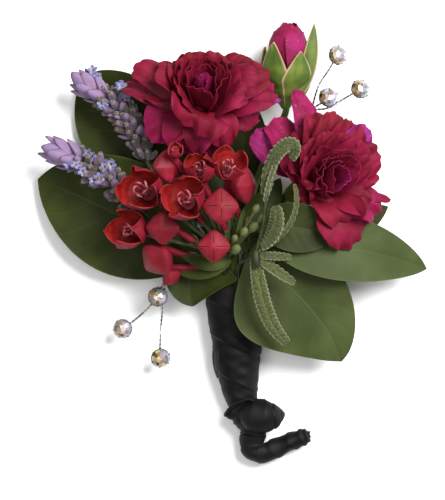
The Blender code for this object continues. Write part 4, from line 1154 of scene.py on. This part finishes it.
def bouvardia_stalks():
    hub = BOUVARDIA_HUB
    parts = [stem("bouvardia", [(-3.6, 20.5, 13.4), hub, hub + Vector((0, 1.2, 1.6))])]
    for place, size, _, _ in BOUVARDIA_FLOWERS:
        head = Vector(place)
        axis = bouvardia_axis(head)
        foot = head - axis * min(12.0, 0.55 * (head - hub).length)
        path = through([hub, hub.lerp(foot, 0.55) - axis * 0.5, foot - axis * 0.6], 5)
        parts.append(rod(path, spread([0.85, 0.6, 0.7], 5), 8, 0.25))
        parts.append(rod([foot - axis * 1.4, foot - axis * 0.7, foot - axis * 0.3], [0.7, 1.25, 1.1], 10, 0.4))
        side, up = across(axis)
        for k in range(4):
            out = side * math.cos(TURN * k / 4) + up * math.sin(TURN * k / 4)
            start = foot - axis * 0.6 + out * 1.05
            parts.append(rod([start, start + axis * 1.0 + out * 0.35, start + axis * 2.2 + out * 0.5],
                             [0.34, 0.3, 0.08], 5, 0.6))
    for place, radius in GREEN_BUDS:
        tip = Vector(place)
        ahead = (tip - hub).normalized()
        path = [hub, tip - ahead * (3.2 * radius), tip - ahead * (2.4 * radius), tip - ahead * (1.5 * radius),
                tip - ahead * (0.6 * radius), tip]
        parts.append(rod(path, [0.6, 0.5, 0.75 * radius, radius, 0.8 * radius, 0.25 * radius], 12, 0.9))
    green = welded(painted(joined("green", parts), STALK))
    blades = []
    # The last two, wider leaves stand for the shade below the flowers: dark sheets put there as painted shade
    for midrib, half_width, face in [
            ([(-2.0, 25.6, 18.2), (-8.0, 21.0, 18.6), (-14.0, 21.6, 16.6), (-20.0, 23.4, 15.2)], 2.4, (0, 0.5, 1)),
            ([(-2.2, 26.0, 18.4), (-6.0, 22.6, 21.0), (-12.0, 24.8, 20.4), (-16.6, 27.0, 18.6)], 2.0, (0, 0.3, 1)),
            ([(-1.6, 27.4, 19.4), (1.2, 32.0, 24.0), (1.8, 36.5, 25.6), (2.0, 41.0, 25.0)], 1.5, (0.6, 0, 1)),
            ([(-1.0, 28.0, 17.4), (4.0, 35.0, 15.0), (9.0, 42.0, 14.4), (13.0, 50.0, 13.6)], 5.0, (0, 0, 1)),
            ([(-3.0, 28.0, 16.0), (-6.0, 38.0, 14.0), (-8.0, 50.0, 12.6), (-8.0, 62.0, 11.4)], 4.6, (0, 0, 1))]:
        rows = blade(vectors(midrib), half_width, lambda t: math.sin(math.pi * (0.06 + 0.94 * t)) ** 0.7,
                     Vector(face), 16, 7, -0.3, lambda t, v, width: 0.0)
        blades.append(sheet(rows, 0.25))
    leaves = thickened(smoother(painted(joined("leaves", blades), SALAL)), 0.3)
    dressed("bouvardia_green_stalks", [green, leaves], ["bouvardia_stalks"])


for flower_number in range(len(BOUVARDIA_FLOWERS)):
    bouvardia_flower(flower_number)
bouvardia_stalks()


# Lavender foliage with fringed margins: midrib, half width, teeth a side, face, and how bright its rib is

FOLIAGE_STEM = [(-0.4, 20.5, 13.8), (1.2, 25.0, 22.0), (5.0, 26.8, 28.0), (7.6, 36.0, 31.5), (8.6, 46.0, 33.8)]
FOLIAGE_LEAVES = [
    ([(8.4, 45, 33.8), (8, 55, 36.5), (14.5, 65, 39), (19.5, 60, 38), (16, 55.5, 36.2)], 2.2, 18, (-0.3, 0.3, 1), 0),
    ([(8.4, 43, 33), (10, 48, 35.5), (11.4, 54, 36)], 1.6, 7, (0.8, 0, 0.6), 0),
    ([(7, 29.5, 29.2), (10.5, 32, 31.6), (12.6, 36.5, 33.4), (11.5, 41.5, 34)], 2.4, 11, (-0.3, 0.4, 1), 0.3),
    ([(6.6, 28, 28.6), (13, 31.5, 29.6), (20, 38, 33), (17, 48, 37)], 0.9, 12, (0.5, -0.3, 0.8), 0.3),
    ([(6, 26.9, 28.2), (10.6, 26.8, 28.8), (16.4, 26.4, 27)], 1.2, 8, (0, 0.2, 1), 0.2),
    ([(5.8, 26.6, 28), (11, 23, 28.6), (17.4, 18.6, 25)], 1.7, 8, (0.2, 0.5, 1), 0.4),
    ([(5.2, 26.6, 27.8), (6.8, 17, 28.4), (7.6, 7, 26), (15.2, 0.6, 22.2)], 2.3, 20, (0, 0, 1), 1),
]


def lavender_foliage():
    blades = []
    for number, (midrib, half_width, teeth, face, rib) in enumerate(FOLIAGE_LEAVES):
        def outline(t, teeth=teeth):
            whole = math.sin(math.pi * (0.06 + 0.88 * t)) ** 0.4
            return whole * (1 + 0.13 * math.sin(TURN * teeth * t))

        def lift(t, v, width, teeth=teeth):
            bead = 0.28 * math.sin(TURN * teeth * t + 0.6) * abs(v) * smooth_step((abs(v) - 0.3) / 0.4)
            return bead - 0.45 * math.exp(-(v / 0.22) ** 2)

        rows = blade(vectors(midrib), half_width, outline, Vector(face), 4 * teeth + 1, 11, -0.3, lift)
        blades.append(sheet(rows, rib))
    leaves = thickened(smoother(painted(joined("fringed", blades), FOLIAGE)), 0.5)
    path = stem_path("foliage", FOLIAGE_STEM, 6)
    stalk = rod(path, [0.8 * (1 - 0.4 * i / len(path)) for i in range(len(path))], 10)
    ring = rod([Vector(p) for p in ((5.2, 28.4, 28.6), (5.4, 27.6, 28.7), (5.8, 24.2, 28.9), (6.0, 23.4, 28.8))],
               [0.9, 1.35, 1.2, 0.9], 12)
    green = welded(painted(joined("stalk", [stalk, ring]), STALK))
    dressed("lavender_fringed_foliage", [leaves, green], ["lavender_foliage"], 70)


lavender_foliage()


# Crystal sprays

WIRE_RADIUS = 0.5
TWIST = 2.4  # of wire for one turn of its two strands
STONE_RADIUS = 2.85
SPRAYS = {
    "spray_right": dict(
        trunk=[(6, 24, 5.6), (7.2, 34, 4.4), (6.6, 46, 5), (12, 58, 7.6), (20, 67.5, 10.6), (22.4, 70.6, 12.4)],
        branches=[
            [(22.4, 70.6, 12.4), (24.4, 77.5, 13.6), (28.2, 83.6, 14.4)],
            [(22.4, 70.6, 12.4), (24.6, 72.2, 13.6), (26.2, 72.9, 14.2)],
            [(22.4, 70.6, 12.4), (27.5, 71.2, 11.6), (32.6, 74.2, 12.4), (35.0, 75.6, 13.0)],
        ],
        stones=[((30.2, 86.9, 15.2), (0.42, 0.18, 0.9)), ((27.4, 74.2, 17.0), (0.15, 0.25, 0.95)),
                ((37.0, 76.8, 14.4), (0.3, 0.2, 0.93))]),
    "spray_left": dict(
        trunk=[(-8.6, 21.6, 9.6), (-12.0, 25.0, 10.4), (-17.5, 23.6, 9.4), (-21.6, 19.0, 9.0)],
        branches=[
            [(-21.6, 19.0, 9.0), (-23.2, 16.6, 8.0), (-23.6, 15.0, 7.2)],
            [(-21.6, 19.0, 9.0), (-25.4, 12.6, 7.4), (-29.6, 8.4, 6.8), (-32.4, 6.2, 6.6)],
            [(-21.6, 19.0, 9.0), (-22.4, 11.0, 7.0), (-23.0, 4.0, 6.4), (-23.2, -1.4, 6.2)],
        ],
        stones=[((-23.8, 14.4, 11.2), (0.05, 0.1, 1.0)), ((-34.4, 4.8, 7.6), (-0.2, -0.1, 0.97)),
                ((-23.0, -4.0, 7.4), (0.1, -0.2, 0.97))]),
}


def turned_part(name, profile, steps, material):
    """A part spun round +Z from (radius, height) points in mm."""
    mesh = bpy.data.meshes.new(name)
    mesh.from_pydata([(r * MM, 0, h * MM) for r, h in profile], [(k, k + 1) for k in range(len(profile) - 1)], [])
    made = bpy.data.objects.new(name, mesh)
    bpy.context.scene.collection.objects.link(made)
    alone(made)
    bpy.ops.object.mode_set(mode="EDIT")
    bpy.ops.mesh.select_all(action="SELECT")
    bpy.ops.mesh.spin(steps=steps, angle=TURN, center=(0, 0, 0), axis=(0, 0, 1))
    bpy.ops.mesh.select_all(action="SELECT")
    bpy.ops.mesh.remove_doubles(threshold=1e-6)
    bpy.ops.mesh.normals_make_consistent(inside=False)
    bpy.ops.object.mode_set(mode="OBJECT")
    return painted(made, material)


def twisted(path, radius):
    """Two strands wound round each other along a path."""
    strands = []
    for start in (0.0, math.pi):
        side, _ = across((path[1] - path[0]).normalized())
        points, walked = [], 0.0
        for i, centre in enumerate(path):
            ahead = (path[min(i + 1, len(path) - 1)] - path[max(i - 1, 0)]).normalized()
            side = (side - ahead * side.dot(ahead)).normalized()
            up = ahead.cross(side)
            if i:
                walked += (centre - path[i - 1]).length
            angle = start + TURN * walked / TWIST
            points.append(centre + 0.36 * radius * (side * math.cos(angle) + up * math.sin(angle)))
        strands.append(rod(points, 0.34 * radius, 6))
    return strands


def resampled(path, step):
    walked = [0.0]
    for a, b in zip(path, path[1:]):
        walked.append(walked[-1] + (b - a).length)
    count = max(int(walked[-1] / step), 4)
    fine, i = [], 0
    for k in range(count + 1):
        want = walked[-1] * k / count
        while i < len(path) - 2 and walked[i + 1] < want:
            i += 1
        share = (want - walked[i]) / max(walked[i + 1] - walked[i], 1e-9)
        fine.append(path[i].lerp(path[i + 1], min(share, 1.0)))
    return fine


def faceted_stone():
    """A chaton cut stone along +Z: pavilion, girdle, crown facets and table."""
    steps = 12
    stone = turned_part("stone", [(0.0, -1.5), (STONE_RADIUS - 0.06, -0.1), (STONE_RADIUS - 0.02, 0.4),
                                  (2.3, 1.25), (1.35, 1.9), (0.0, 2.15)], steps, CRYSTAL)
    return stone


def facet_tints(stone, dice):
    """stone with each facet split off and given its own tint, paler where the facet is turned towards the light:
    painted reflection.
    """
    alone(stone)
    bpy.ops.object.mode_set(mode="EDIT")
    bpy.ops.mesh.select_all(action="SELECT")
    bpy.ops.mesh.tris_convert_to_quads()
    bpy.ops.object.mode_set(mode="OBJECT")
    mesh = stone.data
    values = mesh.attributes.get("tint") or mesh.attributes.new("tint", "FLOAT", "CORNER")
    for polygon in mesh.polygons:
        # Facets turned towards +X and +Y, where the window light stands, take the pale end: painted reflection
        value = 0.5 + 0.42 * polygon.normal.x + 0.12 * polygon.normal.y + dice.uniform(-0.28, 0.28)
        for corner in polygon.loop_indices:
            values.data[corner].value = value
    return stone


def claw_cup():
    """The silver cup of a stone, with claws bent over its girdle."""
    outer = STONE_RADIUS + 0.12
    cup = turned_part("cup", [(0.0, -2.7), (1.2, -2.6), (outer - 0.5, -1.2), (outer - 0.1, -0.2), (outer - 0.02, 0.1),
                              (outer - 0.06, 0.16), (STONE_RADIUS + 0.02, 0.1), (STONE_RADIUS - 0.2, -0.5),
                              (1.4, -1.6), (0.0, -1.9)], 40, SILVER)
    parts = [cup]
    for k in range(6):
        angle = TURN * k / 6
        out = Vector((math.cos(angle), math.sin(angle), 0))
        path = through([out * (outer - 0.25) + Vector((0, 0, -0.8)), out * outer + Vector((0, 0, 0.2)),
                        out * (outer - 0.1) + Vector((0, 0, 0.7)), out * (outer - 0.5) + Vector((0, 0, 1.0))], 3)
        parts.append(welded(painted(rod(path, spread([0.16, 0.2, 0.2, 0.12], 3), 8), SILVER)))
    return joined("cup", parts)


def crystal_spray(name, facts, cup, stone, seed):
    dice = random.Random(seed)
    trunk = resampled(stem_path(name, facts["trunk"], 6), 0.45)
    strands = twisted(trunk, WIRE_RADIUS)
    cups = []
    for number, (branch, (place, look)) in enumerate(zip(facts["branches"], facts["stones"])):
        centre, axis = Vector(place), Vector(look).normalized()
        back = centre - axis * 2.5
        strands += twisted(resampled(through([*vectors(branch), back], 6), 0.45), WIRE_RADIUS)
        roll = dice.uniform(0, 6)
        cups.append(copied(cup, standing(centre, axis, 1.0, roll)))
        gem = bpy.data.objects.new("gem", stone.data.copy())
        matrix = standing(centre + axis * 0.2, axis, 1.0, roll + 0.26)
        matrix.translation = matrix.translation * MM
        gem.data.transform(matrix)
        bpy.context.scene.collection.objects.link(gem)
        gem = facet_tints(gem, dice)
        node = f"{name}_crystal_{number + 1}"
        gem = joined(node + "_stone", [gem])
        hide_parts(node)
        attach(gem, "root")
    wires = welded(painted(joined("wires", strands), SILVER))
    dressed(name + "_twisted_wires", [wires, *cups], [name + "_wires"], 50)


cup_part, stone_part = claw_cup(), faceted_stone()
for part in (cup_part,):
    if "tint" not in part.data.attributes:
        part.data.attributes.new("tint", "FLOAT", "POINT")
for number, (spray_name, spray_facts) in enumerate(SPRAYS.items()):
    crystal_spray(spray_name, spray_facts, cup_part, stone_part, 80 + number)
for part in (cup_part, stone_part):
    bpy.data.objects.remove(part)


# Ribbon handle: centre x, y, half width and half height at each station of the sleeve

SLEEVE = [
    (2.2, -20.5, 4.0, 4.4), (1.8, -17.5, 4.9, 4.9), (0.7, -13.5, 5.5, 5.4), (0.3, -9.0, 6.3, 6.0),
    (0.1, -3.0, 7.3, 6.5), (-0.4, 5.0, 7.9, 6.9), (-0.9, 11.5, 8.5, 7.1), (-1.4, 17.5, 9.0, 7.2),
]
NECK = [(1.9, -17.5, 4.6, 4.3), (3.2, -21.0, 5.0, 4.4), (4.8, -25.2, 4.8, 4.0), (4.9, -28.0, 4.4, 3.9)]
WEDGE = [(6.0, -22.4, 6.2, 4.6), (4.0, -21.8, 6.0, 4.9), (1.6, -21.3, 5.9, 4.3), (-0.8, -20.7, 6.2, 2.9),
         (-2.8, -21.0, 6.4, 1.3), (-3.9, -21.3, 6.4, 0.4)]
LOBE = [(1.6, -20.0, 7.2, 2.6), (4.4, -21.0, 8.0, 5.0), (8.0, -21.5, 8.0, 5.5), (10.8, -21.4, 7.4, 4.3),
        (12.8, -21.1, 7.0, 2.6), (13.9, -20.9, 6.8, 1.4), (14.4, -20.8, 6.7, 0.5)]
LIP = [(-3.5, -21.3, 7.0, 0.4), (-2.3, -19.4, 8.7, 0.6), (0.2, -17.4, 9.9, 0.7), (3.2, -16.4, 10.5, 0.6),
       (5.2, -16.9, 10.9, 0.4)]
TAIL = [
    (4.9, -27.0, 4.9, 3.9), (4.6, -30.0, 4.3, 3.9), (5.4, -32.0, 4.0, 3.5), (8.6, -32.4, 3.8, 3.2),
    (12.9, -30.7, 3.8, 3.0), (17.0, -28.9, 3.9, 2.8), (19.6, -28.0, 4.0, 2.7), (21.0, -27.5, 4.1, 2.4),
    (21.8, -27.2, 4.1, 1.4), (21.6, -27.3, 4.1, 0.6), (20.6, -27.6, 4.1, 0.4),
]


def sleeve_at(y):
    for low, high in zip(SLEEVE, SLEEVE[1:]):
        if low[1] <= y <= high[1] + 1e-6:
            share = (y - low[1]) / (high[1] - low[1])
            return [a + (b - a) * share for a, b in zip(low, high)]
    return list(SLEEVE[-1])


def ribbon_sleeve():
    """The wound ribbon: each turn laps over the one below it, with slanting creases."""
    sides = 72
    heights = [-20.5 + 38.0 * i / 110 for i in range(111)]
    rows = []
    for inset, ys in ((0.0, heights), (0.8, [17.5, 17.0, 14.0, 9.0, 8.0])):
        for number, y in enumerate(ys):
            x, _, wide, tall = sleeve_at(y)
            closing = 0.1 if inset and number == len(ys) - 1 else 1.0
            row = []
            for k in range(sides + 1):
                angle = TURN * (k % sides) / sides
                turn = (y + 3.2 * math.cos(angle) + 1.4 * math.sin(angle)) / 11.0
                lap = turn % 1.0
                step = 0.5 * smooth_step(lap / 0.07) * (1 - 0.9 * lap)
                crease = 0.09 * math.sin(3.1 * y * 0.45 + 2.2 * math.cos(angle) + 1.3 * math.sin(2 * angle))
                crease += 0.05 * math.sin(1.9 * y - 3.0 * math.cos(angle))
                relief = (step + crease - 0.35) if not inset else -inset
                half_height = tall
                middle = tall - 0.45
                z = middle + (half_height + relief) * math.sin(angle) * closing
                row.append(Vector((x + (wide + relief) * math.cos(angle) * closing, y, max(z, 0.03 + 0.5 * inset))))
            rows.append(row)
    return sheet(rows)


def ribbon_roll(stations, sides, lap_length, depth, shift, crease=1.0):
    """A roll of ribbon through (x, y, z, radius) stations, its laps slanting round it."""
    path = through([s[:3] for s in stations], 9)
    radii = spread([s[3] for s in stations], 9)

    def section(i, angle):
        turn = (i / 9 * 4.2 + 1.5 * math.cos(angle + shift)) / lap_length
        lap = turn % 1.0
        step = depth * smooth_step(lap / 0.1) * (1 - 0.9 * lap)
        fold = 0.14 * math.sin(0.6 * i + 2.0 * math.cos(angle + shift)) + 0.1 * math.sin(3 * angle + 0.3 * i)
        return radii[i] * 0.98 + (step - depth * 0.6 + crease * fold) * min(1.0, radii[i] / 1.5)

    return body(path, section, sides)


def ribbon_handle():
    parts = [ribbon_sleeve(), ribbon_roll(NECK, 40, 4.4, 0.3, 1.0), ribbon_roll(WEDGE, 40, 9.0, 0.3, 0.5),
             ribbon_roll(LOBE, 48, 12.6, 0.5, 1.5, crease=0.3), ribbon_roll(LIP, 20, 30.0, 0.0, 0.0, crease=0.4),
             ribbon_roll(TAIL, 40, 5.0, 0.3, 2.0, crease=0.8)]
    wound = welded(painted(joined("wound", parts), RIBBON))
    flaps = []
    for edge, hem, folds in [
            ([(-6.9, 0.5, 7.6), (-8.2, -4.5, 5.4), (-5.9, -10.2, 4.6)],
             [(-5.4, 0.5, 10.4), (-5.6, -4.0, 10.2), (-4.6, -9.6, 8.4)], 2)]:
        rows = []
        for i in range(12):
            low, high = bezier(vectors(edge), i / 11), bezier(vectors(hem), i / 11)
            rows.append([low.lerp(high, j / 6) + Vector((0, 0, 0.25 * math.sin(folds * j + 0.5 * i)))
                         for j in range(7)])
        flaps.append(sheet(rows))
    laps = thickened(smoother(painted(joined("laps", flaps), RIBBON)), 0.3)
    dressed("ribbon_handle", [wound, laps], ["ribbon_wrap"], 50)


ribbon_handle()
painted(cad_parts["taped_core"], TAPE)


# Table, lights and camera

bpy.ops.mesh.primitive_plane_add(size=6, location=(0, 0, 0))
table = bpy.context.object
table.name = "table"
painted(table, white_table())


def soft_light(name, place, size, power, colour=(1, 1, 1)):
    light = bpy.data.lights.new(name, "AREA")
    light.shape, light.size = "DISK", size
    light.energy, light.color = power, colour
    made = bpy.data.objects.new(name, light)
    made.location = place
    made.rotation_euler = (Vector((0, 0.03, 0)) - Vector(place)).to_track_quat("-Z", "Y").to_euler()
    bpy.context.scene.collection.objects.link(made)


soft_light("window", (0.44, 0.40, 0.82), 0.6, 21)
soft_light("ceiling", (-0.30, -0.1, 1.3), 1.2, 9)

world = bpy.data.worlds.new("studio")
bpy.context.scene.world = world
world.use_nodes = True
world.node_tree.nodes["Background"].inputs["Color"].default_value = (1, 1, 1, 1)
world.node_tree.nodes["Background"].inputs["Strength"].default_value = 0.26
bpy.context.scene.view_settings.view_transform = "Standard"

camera_data = bpy.data.cameras.new("camera")
camera = bpy.data.objects.new("camera", camera_data)
bpy.context.scene.collection.objects.link(camera)
MIDDLE = Vector((-4.35, 28.5, 15.0)) * MM  # what the picture's centre shows
DISTANCE = 2.4
camera.location = MIDDLE + Vector((0, 0, DISTANCE))
camera.rotation_euler = (0, 0, 0)
camera_data.sensor_width = 36
camera_data.lens = 36 * DISTANCE / 0.150  # the picture is 500 pixels of 0.30 mm high
camera_data.clip_start, camera_data.clip_end = 0.1, 20
bpy.context.scene.camera = camera
